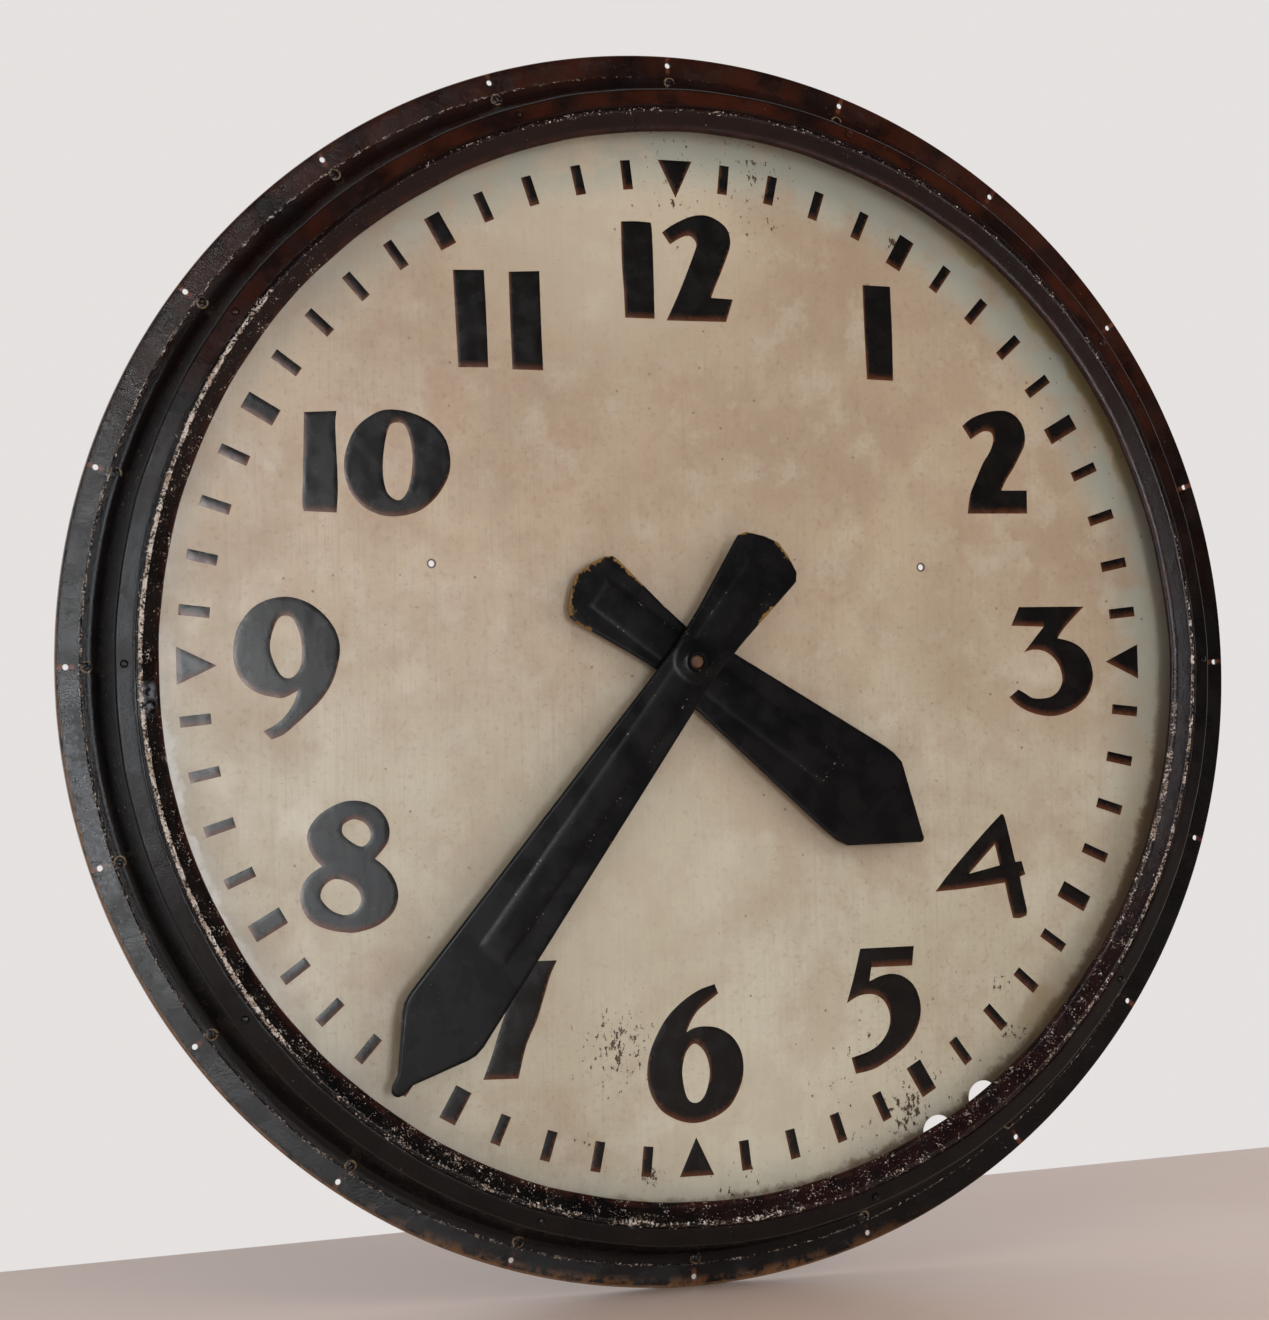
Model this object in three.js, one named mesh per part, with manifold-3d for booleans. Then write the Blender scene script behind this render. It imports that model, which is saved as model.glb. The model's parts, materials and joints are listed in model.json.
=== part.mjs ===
// A one-metre flush-fixed wall clock: a slave dial with its slim impulse movement.
// Millimetres, +Z up. The clock faces -Y, and the wall is the plane y = 0.
// Depths are measured forward from the wall: a depth d is the plane y = -d.
// Clock angles run clockwise from twelve, as the viewer sees them.
import * as THREE from 'three';
import { mergeVertices } from 'three/addons/utils/BufferGeometryUtils.js';
import Module from 'manifold-3d';

const wasm = await Module();
wasm.setup();

// ---------------------------------------------------------------- driving dimensions

const GAP = 0.3;
const RING_SEGMENTS = 60;

const FLANGE_RADIUS = 500;
const FLANGE_INNER_RADIUS = 456;
const FLANGE_DEPTH = 8;
const FLANGE_SHEET = 2.5;
const FLANGE_HEM = 3;
const FIXING_HOLES = 20;
const FIXING_HOLE_RADIUS = 2.3;
const FIXING_PITCH_RADIUS = 492.4;

const BEZEL_FOOT_RADIUS = 482;
const BAND_OUTER = { radius: 460.8, depth: 50.7 };
const BAND_INNER = { radius: 447.5, depth: 55.8 };
const LIP_RADIUS = 428;
const LIP_DEPTH = 46.4;
const BAND_SCREWS = 10;
const BAND_SCREW_FIRST_ANGLE = 18;
const BAND_SCREW_PLACE = 0.45;
const BAND_SCREW_RADIUS = 1.8;

const DIAL_FACE_DEPTH = 20;
const DIAL_SHEET = 1.5;
const DIAL_RADIUS = 456;
const DIAL_CENTRE_HOLE_RADIUS = 13.5;
const SMALL_HOLE = { radius: 2.5, x: 210, z: 79.5 };
const CABLE_HOLE = { radius: 13.5, pitchRadius: 442, angles: [144.9, 151.3] };
const DIAL_BOLTS = 6;
const DIAL_BOLT_PITCH_RADIUS = 450;
const DIAL_BOLT_RADIUS = 1.9;

const BAR = { halfLength: 468, halfWidth: 30, from: 2.2, thickness: 3 };
const BAR_SCREW = { x: 462, z: 14 };
const BAR_SCREW_RADIUS = 2.2;
const CLEARANCE = 0.4;

const BACK_PLATE = { from: 5.5, thickness: 2 };
const FRONT_PLATE = { from: 15.7, thickness: 2 };
const PLATE_CENTRE_X = 11;
const PLATE_HALF_WIDTH = 69;
const PLATE_HALF_HEIGHT = 54;
const PILLARS = [[72, 45], [72, -45], [-22, 49.5], [-22, -49.5]];
const PILLAR_RADIUS = 4;
const PLATE_SCREWS = [[-43, 24], [-43, -24], [75, 15], [75, -15]];

const ARBOR_RADIUS = 5.5;
const ARBOR_TIP_DEPTH = 49;
const RATCHET = { teeth: 60, tip: 34, root: 31.8, from: 8.1, thickness: 1.8 };
const FIRST_MODULE = 1.6;
const CANNON_TEETH = 12;
const MINUTE_WHEEL_TEETH = 36;
const MINUTE_PINION_TEETH = 10;
const HOUR_WHEEL_TEETH = 40;
const STUD_X = FIRST_MODULE * (CANNON_TEETH + MINUTE_WHEEL_TEETH) / 2;
const SECOND_MODULE = 2 * STUD_X / (MINUTE_PINION_TEETH + HOUR_WHEEL_TEETH);
const FIRST_MESH = { from: 10.4, thickness: 1.8 };
const SECOND_MESH = { from: 12.9, thickness: 2 };
const STUD_RADIUS = 2.5;
const PINION_COLLAR_RADIUS = 4.6;
const HOUR_PIPE = { inner: 5.9, outer: 8, from: 12.9, to: 35.2 };

const ARMATURE_PIVOT = [-50, -40];
const STOP_PAWL_PIVOT = [34, -41];
const POLE_X = -59.6;
const COIL = { halfLength: 20, halfWidth: 12, radiusOfCore: 4, depth: 11.9, halfDepth: 6 };
const COIL_X = -84;
const COIL_Z = 14.5;
const YOKE = { length: 54, strip: 4, height: 11.6, foot: 14 };
const KEEPER = { length: 57, thickness: 4, height: 6.4, x: -54.2 };
const LEVER = { from: 10.6, thickness: 2.6 };
const DRIVE_STUD = { x: -50, z: 39, radius: 1.6 };
const SPRING_DEPTH = 10.9;
const TERMINAL = { x: 150, spread: 12, screwRadius: 2 };

const HOUR_HAND = { angle: 126.4, from: 31.4, sheet: 1.6 };
const MINUTE_HAND = { angle: 217.3, from: 42.2, sheet: 1.6 };
const HAND_RIB_RISE = 1.2;

// ---------------------------------------------------------------- finishes

function finish(colour, roughness, metalness) {
  return new THREE.MeshStandardMaterial({ color: colour, roughness, metalness });
}

const BLACK_PAINT = finish(0x1d1b1c, 0.45, 0.1);
const CREAM_PAINT = finish(0xc6b899, 0.5, 0.0);
const HAND_PAINT = finish(0x161618, 0.4, 0.1);
const STEEL = finish(0x8c8f92, 0.4, 0.9);
const GALVANISED = finish(0x9a9d9c, 0.55, 0.8);
const BRASS = finish(0xb6924a, 0.35, 0.9);
const RUSTY_STEEL = finish(0x6d3b26, 0.75, 0.4);
const COIL_TAPE = finish(0x5c2a1c, 0.6, 0.0);
const BAKELITE = finish(0x2b1a12, 0.35, 0.0);

// ---------------------------------------------------------------- solids

const radians = THREE.MathUtils.degToRad;

// Keeps positions only, joins shared corners and turns the faces outward.
function closed(geometry) {
  const bare = new THREE.BufferGeometry();
  bare.setAttribute('position', geometry.getAttribute('position').clone());
  if (geometry.index) bare.setIndex(geometry.index.clone());
  const merged = mergeVertices(bare, 1e-4);
  const corners = merged.getAttribute('position');
  const index = Array.from(merged.index.array);
  const faces = [];
  const a = new THREE.Vector3();
  const b = new THREE.Vector3();
  const c = new THREE.Vector3();
  let volume = 0;
  for (let i = 0; i < index.length; i += 3) {
    const [i0, i1, i2] = index.slice(i, i + 3);
    if (i0 === i1 || i1 === i2 || i2 === i0) continue;
    a.fromBufferAttribute(corners, i0);
    b.fromBufferAttribute(corners, i1);
    c.fromBufferAttribute(corners, i2);
    volume += a.dot(b.cross(c));
    faces.push([i0, i1, i2]);
  }
  const outward = volume < 0 ? faces.map(([i0, i1, i2]) => [i0, i2, i1]) : faces;
  merged.setIndex(outward.flat());
  return merged;
}

function toManifold(geometry) {
  const solid = closed(geometry);
  return new wasm.Manifold(new wasm.Mesh({
    numProp: 3,
    vertProperties: Float32Array.from(solid.getAttribute('position').array),
    triVerts: Uint32Array.from(solid.index.array),
  }));
}

function fromManifold(manifold) {
  const mesh = manifold.getMesh();
  const geometry = new THREE.BufferGeometry();
  geometry.setAttribute('position', new THREE.BufferAttribute(mesh.vertProperties, 3));
  geometry.setIndex(new THREE.BufferAttribute(mesh.triVerts, 1));
  return geometry;
}

function join(first, ...others) {
  const sum = others.reduce((solid, other) => solid.add(toManifold(other)), toManifold(first));
  return fromManifold(sum);
}

function cut(first, ...others) {
  const rest = others.reduce((solid, other) => solid.subtract(toManifold(other)), toManifold(first));
  return fromManifold(rest);
}

// ---------------------------------------------------------------- outlines, seen from the front

function circle(radius, segments, x = 0, z = 0) {
  const points = [];
  for (let i = 0; i < segments; i++) {
    const turn = 2 * Math.PI * i / segments;
    points.push([x + radius * Math.cos(turn), z + radius * Math.sin(turn)]);
  }
  return points;
}

function rectangle(x, z, halfWidth, halfHeight) {
  return [
    [x - halfWidth, z - halfHeight], [x + halfWidth, z - halfHeight],
    [x + halfWidth, z + halfHeight], [x - halfWidth, z + halfHeight],
  ];
}

function atClockAngle(radius, angle) {
  return [radius * Math.sin(radians(angle)), radius * Math.cos(radians(angle))];
}

// Crossings: windows between a wheel's hub and rim that leave straight arms.
function crossings(inner, outer, count, armWidth) {
  const windows = [];
  const steps = 3;
  for (let i = 0; i < count; i++) {
    const middle = 2 * Math.PI * (i + 0.5) / count;
    const points = [];
    for (const [radius, way] of [[outer, 1], [inner, -1]]) {
      const half = Math.PI / count - Math.asin(armWidth / 2 / radius);
      for (let k = 0; k <= steps; k++) {
        const turn = middle + way * half * (2 * k / steps - 1);
        points.push([radius * Math.cos(turn), radius * Math.sin(turn)]);
      }
    }
    windows.push(points);
  }
  return windows;
}

// A flat piece from its outline and holes, standing forward from a depth.
function plate(outline, from, thickness, holes = []) {
  const shape = new THREE.Shape(outline.map(([x, z]) => new THREE.Vector2(x, z)));
  for (const hole of holes) {
    shape.holes.push(new THREE.Path(hole.map(([x, z]) => new THREE.Vector2(x, z))));
  }
  const solid = new THREE.ExtrudeGeometry(shape, { depth: thickness, bevelEnabled: false });
  return solid.translate(0, 0, from).rotateX(Math.PI / 2);
}

function disc(radius, from, thickness, segments, x = 0, z = 0) {
  return plate(circle(radius, segments, x, z), from, thickness);
}

// A turned piece: a closed profile of [radius, depth] points about the hand axis.
function turned(profile, segments) {
  const points = [...profile, profile[0]].map(([radius, depth]) => new THREE.Vector2(radius, depth));
  return new THREE.LatheGeometry(points, segments).rotateX(Math.PI);
}

function tube(inner, outer, from, to, segments) {
  return turned([[inner, from], [outer, from], [outer, to], [inner, to]], segments);
}

// A tapered piece between two outlines with the same number of points.
function tapered(low, lowDepth, high, highDepth) {
  const count = low.length;
  const corners = [...low.map(([x, z]) => [x, -lowDepth, z]), ...high.map(([x, z]) => [x, -highDepth, z])];
  const cap = THREE.ShapeUtils.triangulateShape(low.map(([x, z]) => new THREE.Vector2(x, z)), []);
  const faces = [];
  for (const [a, b, c] of cap) {
    faces.push(a, c, b, a + count, b + count, c + count);
  }
  for (let i = 0; i < count; i++) {
    const next = (i + 1) % count;
    faces.push(i, next, next + count, i, next + count, i + count);
  }
  const geometry = new THREE.BufferGeometry();
  geometry.setAttribute('position', new THREE.Float32BufferAttribute(corners.flat(), 3));
  geometry.setIndex(faces);
  return geometry;
}

// ---------------------------------------------------------------- flange and bezel

function flangeRing() {
  const back = FLANGE_DEPTH - FLANGE_SHEET;
  const ring = turned([
    [FLANGE_RADIUS - FLANGE_HEM, 0], [FLANGE_RADIUS, 0], [FLANGE_RADIUS, FLANGE_DEPTH],
    [FLANGE_INNER_RADIUS, FLANGE_DEPTH], [FLANGE_INNER_RADIUS, back], [FLANGE_RADIUS - FLANGE_HEM, back],
  ], RING_SEGMENTS);
  const drills = [];
  for (let i = 0; i < FIXING_HOLES; i++) {
    const [x, z] = atClockAngle(FIXING_PITCH_RADIUS, 360 * i / FIXING_HOLES);
    drills.push(disc(FIXING_HOLE_RADIUS, back - 1, FLANGE_SHEET + 2, 8, x, z));
  }
  for (const [x, z] of barScrewPlaces()) {
    drills.push(disc(BAR_SCREW_RADIUS + 0.6, back - 1, FLANGE_SHEET + 2, 8, x, z));
  }
  return cut(ring, ...drills);
}

// The front of the moulding, from the foot's edge up the side wall, over the band and down the lip.
const BEZEL_FRONT = [
  [BEZEL_FOOT_RADIUS, 10.5], [477, 11], [472.4, 14], [469.6, 20], [467, 30], [463.6, 42],
  [BAND_OUTER.radius, BAND_OUTER.depth], [BAND_INNER.radius, BAND_INNER.depth], [446.2, 54.9],
  [443.4, 56.6], [440.2, 55], [434, 50.3], [LIP_RADIUS, LIP_DEPTH],
];

// The back of the same sheet, one thickness behind its front.
const BEZEL_BACK = [
  [LIP_RADIUS, 44], [435.6, 49.1], [442.2, 53.4], [446.8, 53], [459.2, 49.2], [461.7, 41.4],
  [465, 29.6], [468, 18.4], [471.2, 12.2], [475.6, 8.6], [BEZEL_FOOT_RADIUS, 8.5],
];

const BAND_SLOPE = new THREE.Vector2(
  BAND_INNER.radius - BAND_OUTER.radius,
  BAND_INNER.depth - BAND_OUTER.depth,
);

// Places something built along the hand axis so that it stands square on the bezel's band.
function ontoBand(geometry, angle) {
  const normal = new THREE.Vector2(BAND_SLOPE.y, -BAND_SLOPE.x).normalize();
  const tilt = Math.atan2(normal.x, normal.y);
  const radius = BAND_OUTER.radius + BAND_SCREW_PLACE * BAND_SLOPE.x;
  const depth = BAND_OUTER.depth + BAND_SCREW_PLACE * BAND_SLOPE.y;
  geometry.rotateX(-tilt);
  geometry.translate(0, -depth, radius);
  return geometry.rotateY(radians(angle));
}

function bandScrewAngles() {
  const step = 360 / BAND_SCREWS;
  return Array.from({ length: BAND_SCREWS }, (_, i) => BAND_SCREW_FIRST_ANGLE + i * step);
}

function bezelRing() {
  const ring = turned([...BEZEL_FRONT, ...BEZEL_BACK], RING_SEGMENTS);
  return cut(ring, ...bandScrewDrills());
}

function bandScrewDrills() {
  const drill = () => disc(BAND_SCREW_RADIUS + CLEARANCE, -12, 16, 8);
  return bandScrewAngles().map((angle) => ontoBand(drill(), angle));
}

// Domed head outside the band, shank through the band and the dial ring behind it.
function bandScrew(angle) {
  const shank = disc(BAND_SCREW_RADIUS, -5.4, 6, 8);
  const head = turned([[0, GAP], [3.2, GAP], [2.6, 1.5], [1.2, 2.1], [0, 2.2]], 10);
  return ontoBand(join(shank, head), angle);
}

// ---------------------------------------------------------------- dial

// A Z-section ring: its foot lies on the dial's edge, its head hangs behind the bezel's band.
// The foot is notched where the cables come through the dial.
function dialRing() {
  const footFront = DIAL_FACE_DEPTH + GAP;
  const ring = turned([
    [443.5, footFront], [458.6, footFront], [458.6, 49], [447.6, 52.4],
    [447.6, 50.5], [456.8, 47.6], [456.8, footFront + 1.8], [443.5, footFront + 1.8],
  ], RING_SEGMENTS);
  const drills = bandScrewDrills();
  for (const [x, z] of dialBoltPlaces()) {
    drills.push(disc(DIAL_BOLT_RADIUS + CLEARANCE, DIAL_FACE_DEPTH - 1, 5, 8, x, z));
  }
  for (const [x, z] of cableHolePlaces()) {
    drills.push(disc(CABLE_HOLE.radius + 1, DIAL_FACE_DEPTH - 1, 4, 16, x, z));
  }
  return cut(ring, ...drills);
}

function dialBoltPlaces() {
  const step = 360 / DIAL_BOLTS;
  return Array.from({ length: DIAL_BOLTS }, (_, i) => atClockAngle(DIAL_BOLT_PITCH_RADIUS, i * step));
}

function cableHolePlaces() {
  return CABLE_HOLE.angles.map((angle) => atClockAngle(CABLE_HOLE.pitchRadius, angle));
}

function dialPlate() {
  const holes = [circle(DIAL_CENTRE_HOLE_RADIUS, 16)];
  for (const side of [-1, 1]) {
    holes.push(circle(SMALL_HOLE.radius, 10, side * SMALL_HOLE.x, SMALL_HOLE.z));
  }
  for (const [x, z] of cableHolePlaces()) {
    holes.push(circle(CABLE_HOLE.radius, 20, x, z));
  }
  for (const [x, z] of dialBoltPlaces()) {
    holes.push(circle(DIAL_BOLT_RADIUS + CLEARANCE, 8, x, z));
  }
  return plate(circle(DIAL_RADIUS, RING_SEGMENTS), DIAL_FACE_DEPTH - DIAL_SHEET, DIAL_SHEET, holes);
}

// Head behind the dial, shank forward through the dial and the ring's foot.
function dialBolt(x, z) {
  const back = DIAL_FACE_DEPTH - DIAL_SHEET - GAP;
  const head = disc(4, back - 2.4, 2.4, 6, x, z);
  const shank = disc(DIAL_BOLT_RADIUS, back - 0.5, DIAL_SHEET + 3.2, 8, x, z);
  return join(head, shank);
}

// ---------------------------------------------------------------- cross bar

function barScrewPlaces() {
  const places = [];
  for (const sideX of [-1, 1]) {
    for (const sideZ of [-1, 1]) {
      places.push([sideX * BAR_SCREW.x, sideZ * BAR_SCREW.z]);
    }
  }
  return places;
}

function supportBar() {
  const { halfLength, halfWidth, from, thickness } = BAR;
  const corner = 6;
  const outline = [
    [-halfLength, -halfWidth + corner], [-halfLength + corner, -halfWidth],
    [halfLength - corner, -halfWidth], [halfLength, -halfWidth + corner],
    [halfLength, halfWidth - corner], [halfLength - corner, halfWidth],
    [-halfLength + corner, halfWidth], [-halfLength, halfWidth - corner],
  ];
  const holes = [circle(ARBOR_RADIUS + 1, 14)];
  for (const [x, z] of [...barScrewPlaces(), ...PLATE_SCREWS]) {
    holes.push(circle(BAR_SCREW_RADIUS + CLEARANCE, 8, x, z));
  }
  return plate(outline, from, thickness, holes);
}

// Head in front of the flange sheet, shank back through the bar.
function barScrew(x, z) {
  const head = disc(4, FLANGE_DEPTH + GAP, 2.6, 6, x, z);
  const shank = disc(BAR_SCREW_RADIUS, BAR.from + 0.2, FLANGE_DEPTH - BAR.from + 1, 8, x, z);
  return join(head, shank);
}

// ---------------------------------------------------------------- movement frame

// The back plate carries the riveted studs that the lever, pawl and minute wheel turn on.
function backPlate() {
  const { from, thickness } = BACK_PLATE;
  const holes = [circle(ARBOR_RADIUS + 1, 14)];
  for (const [x, z] of PLATE_SCREWS) {
    holes.push(circle(BAR_SCREW_RADIUS + CLEARANCE, 8, x, z));
  }
  const outline = rectangle(PLATE_CENTRE_X, 0, PLATE_HALF_WIDTH, PLATE_HALF_HEIGHT);
  const sheet = plate(outline, from, thickness, holes);
  const studs = [[STUD_X, 0], ARMATURE_PIVOT, STOP_PAWL_PIVOT].map(([x, z]) => (
    disc(STUD_RADIUS, from + 0.5, FRONT_PLATE.from - GAP - from - 0.5, 12, x, z)
  ));
  return join(sheet, ...studs);
}

function frontPlate() {
  const { from, thickness } = FRONT_PLATE;
  const outline = rectangle(PLATE_CENTRE_X, 0, PLATE_HALF_WIDTH, PLATE_HALF_HEIGHT);
  return plate(outline, from, thickness, [circle(11, 20)]);
}

function pillar(x, z) {
  const from = BACK_PLATE.from + BACK_PLATE.thickness + GAP;
  return disc(PILLAR_RADIUS, from, FRONT_PLATE.from - GAP - from, 10, x, z);
}

// Head on the back plate, shank back through the plate and the bar.
function plateScrew(x, z) {
  const seat = BACK_PLATE.from + BACK_PLATE.thickness + GAP;
  const head = disc(3.5, seat, 2, 6, x, z);
  const shank = disc(BAR_SCREW_RADIUS, BAR.from + 0.2, seat - BAR.from, 8, x, z);
  return join(head, shank);
}

// The bush that steadies the hour pipe, held in the front plate and reaching into the dial's hole.
function hourBush() {
  const { from } = FRONT_PLATE;
  return tube(HOUR_PIPE.outer + GAP, 11 - GAP, from, DIAL_FACE_DEPTH + 0.8, 20);
}

// ---------------------------------------------------------------- wheels and pinions

// Straight-flanked teeth, thinner than half the pitch so that the pair runs free.
function toothedOutline(teeth, module, phase) {
  const pitchRadius = module * teeth / 2;
  const tip = pitchRadius + 0.85 * module;
  const root = pitchRadius - 1.2 * module;
  const points = [];
  for (let i = 0; i < teeth; i++) {
    const middle = phase + 2 * Math.PI * i / teeth;
    const rootHalf = 1.05 * module / root;
    const tipHalf = 0.34 * module / tip;
    for (const [radius, offset] of [[root, -rootHalf], [tip, -tipHalf], [tip, tipHalf], [root, rootHalf]]) {
      points.push([radius * Math.cos(middle + offset), radius * Math.sin(middle + offset)]);
    }
  }
  return points;
}

function ratchetWheel() {
  const { teeth, tip, root, from, thickness } = RATCHET;
  const outline = [];
  for (let i = 0; i < teeth; i++) {
    const start = -2 * Math.PI * i / teeth;
    const end = start - 2 * Math.PI * 0.86 / teeth;
    outline.push([tip * Math.cos(start), tip * Math.sin(start)]);
    outline.push([root * Math.cos(end), root * Math.sin(end)]);
  }
  const windows = crossings(12, 27, 5, 6);
  return plate(outline.reverse(), from, thickness, [circle(ARBOR_RADIUS + GAP, 16), ...windows]);
}

function cannonPinion() {
  const { from, thickness } = FIRST_MESH;
  const outline = toothedOutline(CANNON_TEETH, FIRST_MODULE, 0);
  return plate(outline, from, thickness, [circle(ARBOR_RADIUS + GAP, 16)]);
}

function movedX(outline, x) {
  return outline.map(([a, b]) => [a + x, b]);
}

// A gap faces the cannon pinion, because a pinion tooth points along +X.
function minuteWheel() {
  const { from, thickness } = FIRST_MESH;
  const phase = Math.PI + Math.PI / MINUTE_WHEEL_TEETH;
  const outline = toothedOutline(MINUTE_WHEEL_TEETH, FIRST_MODULE, phase);
  const holes = [circle(PINION_COLLAR_RADIUS + GAP, 12), ...crossings(9.5, 22.5, 5, 5)];
  return plate(movedX(outline, STUD_X), from, thickness, holes.map((hole) => movedX(hole, STUD_X)));
}

// The pinion's collar passes back through the minute wheel.
function minutePinion() {
  const { from, thickness } = SECOND_MESH;
  const outline = toothedOutline(MINUTE_PINION_TEETH, SECOND_MODULE, Math.PI);
  const bore = circle(STUD_RADIUS + GAP, 12, STUD_X, 0);
  const leaves = plate(movedX(outline, STUD_X), from, thickness, [bore]);
  const collarOutline = circle(PINION_COLLAR_RADIUS, 12, STUD_X, 0);
  const collar = plate(collarOutline, FIRST_MESH.from - 0.2, from - FIRST_MESH.from + 0.3, [bore]);
  return join(leaves, collar);
}

function hourWheel() {
  const { from, thickness } = SECOND_MESH;
  const outline = toothedOutline(HOUR_WHEEL_TEETH, SECOND_MODULE, Math.PI / HOUR_WHEEL_TEETH);
  return plate(outline, from, thickness, [circle(HOUR_PIPE.outer + GAP, 20), ...crossings(13, 24.5, 5, 5)]);
}

function hourPipe() {
  return tube(HOUR_PIPE.inner, HOUR_PIPE.outer, HOUR_PIPE.from, HOUR_PIPE.to, 20);
}

function centreArbor() {
  const rear = BAR.from + 0.3;
  return turned([
    [0, rear], [ARBOR_RADIUS, rear], [ARBOR_RADIUS, ARBOR_TIP_DEPTH - 1.2],
    [ARBOR_RADIUS - 1.4, ARBOR_TIP_DEPTH - 0.2], [0, ARBOR_TIP_DEPTH],
  ], 16);
}

// ---------------------------------------------------------------- magnet, lever and pawls

function magnetCore(z) {
  const length = POLE_X - (COIL_X - COIL.halfLength - 3);
  const core = new THREE.CylinderGeometry(COIL.radiusOfCore, COIL.radiusOfCore, length, 12);
  return core.rotateZ(Math.PI / 2).translate(POLE_X - length / 2, -COIL.depth, z);
}

function coil(z) {
  const { halfLength, halfWidth, halfDepth, radiusOfCore } = COIL;
  const round = 4;
  const section = new THREE.Shape();
  section.moveTo(-halfDepth, -halfWidth + round);
  section.absarc(-halfDepth + round, -halfWidth + round, round, Math.PI, 1.5 * Math.PI);
  section.absarc(halfDepth - round, -halfWidth + round, round, 1.5 * Math.PI, 2 * Math.PI);
  section.absarc(halfDepth - round, halfWidth - round, round, 0, 0.5 * Math.PI);
  section.absarc(-halfDepth + round, halfWidth - round, round, 0.5 * Math.PI, Math.PI);
  const bore = circle(radiusOfCore + GAP, 12).map(([a, b]) => new THREE.Vector2(a, b));
  section.holes.push(new THREE.Path(bore));
  const settings = { depth: 2 * halfLength, bevelEnabled: false, curveSegments: 4 };
  const body = new THREE.ExtrudeGeometry(section, settings);
  return body.translate(0, 0, -halfLength).rotateY(Math.PI / 2).rotateX(Math.PI / 2)
    .translate(COIL_X, -COIL.depth, z);
}

// The yoke stands on the bar behind both coils and closes the magnetic path.
function magnetYoke() {
  const { length, strip, height, foot } = YOKE;
  const back = COIL_X - COIL.halfLength - 3 - GAP;
  const upright = new THREE.BoxGeometry(strip, height, length).translate(back - strip / 2, -height, 0);
  const base = new THREE.BoxGeometry(foot, 2, length).translate(back - foot / 2, -6.8, 0);
  return join(upright, base);
}

// A plate facing the poles on a lever that turns about the lower stud, with an arm for the drive pawl.
function armature() {
  const [px, pz] = ARMATURE_PIVOT;
  const keeper = new THREE.BoxGeometry(KEEPER.thickness, KEEPER.height, KEEPER.length)
    .translate(KEEPER.x, -COIL.depth, 0);
  const lever = plate([
    [px - 6.2, pz - 5], [px + 5, pz - 5], [px + 5, pz + 6], [-48.8, -26], [-48.8, 33],
    [-45, 37], [-45, 43], [-55, 43], [-56.2, 40], [-56.2, -26],
  ], LEVER.from, LEVER.thickness);
  const hole = disc(STUD_RADIUS + GAP, 8, 8, 12, px, pz);
  const stud = disc(DRIVE_STUD.radius, 7.9, 3, 8, DRIVE_STUD.x, DRIVE_STUD.z);
  return join(cut(join(keeper, lever), hole), stud);
}

// A light lever hooked over the armature's stud; its nose pushes the ratchet teeth.
function drivePawl() {
  const outline = [
    [-54, 36], [-46, 35.4], [-13, 36.6], [-7.6, 33.5], [-6.4, 34.2], [-7.6, 38.2], [-13, 40.2],
    [-46, 42.8], [-53, 42.6],
  ];
  const hole = circle(DRIVE_STUD.radius + GAP, 8, DRIVE_STUD.x, DRIVE_STUD.z);
  return plate(outline, RATCHET.from, RATCHET.thickness, [hole]);
}

// Keeps the ratchet wheel from turning back between impulses.
function stopPawl() {
  const [px, pz] = STOP_PAWL_PIVOT;
  const outline = [
    [px + 5.4, pz - 4], [px + 5.4, pz + 4], [px - 2, pz + 5.2], [11, -38.6], [4.4, -34.2],
    [3.2, -34.9], [4.8, -38.6], [10, -42.6], [px - 3, pz - 5],
  ];
  return plate(outline, RATCHET.from, RATCHET.thickness, [circle(STUD_RADIUS + GAP, 12, px, pz)]);
}

// A leaf on a block, lying along the lever: it sends the lever back when the magnet lets go.
function returnSpring() {
  const block = new THREE.BoxGeometry(7.4, 6, 9).translate(-43.9, -SPRING_DEPTH, 6);
  const leaf = new THREE.BoxGeometry(0.8, 4, 28).translate(-47.9, -SPRING_DEPTH, -3.5);
  return join(block, leaf);
}

// ---------------------------------------------------------------- terminals

function terminalBlock() {
  const { x, spread, screwRadius } = TERMINAL;
  const body = new THREE.BoxGeometry(44, 9, 24).translate(x, -10, 0);
  const wells = [-spread, spread].map((side) => disc(screwRadius + GAP, 12, 4, 8, x + side, 0));
  return cut(body, ...wells);
}

function terminalScrew(side) {
  const x = TERMINAL.x + side * TERMINAL.spread;
  const shank = disc(TERMINAL.screwRadius, 12.4, 2.6, 8, x, 0);
  const head = disc(4, 14.8, 2.2, 10, x, 0);
  return join(shank, head);
}

// ---------------------------------------------------------------- hands

// A hand's outline, pointing to twelve: the left side's points and their mirror images.
function bothSides(left) {
  const right = left.filter(([across]) => across !== 0).map(([across, along]) => [-across, along]);
  return [...left, ...right.reverse()];
}

function ribOutline(tail, tip, halfWidth) {
  return [
    [-halfWidth, tail + halfWidth * 0.6], [-halfWidth * 0.5, tail], [halfWidth * 0.5, tail],
    [halfWidth, tail + halfWidth * 0.6], [halfWidth, tip - halfWidth * 1.2], [halfWidth * 0.4, tip],
    [-halfWidth * 0.4, tip], [-halfWidth, tip - halfWidth * 1.2],
  ];
}

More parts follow.
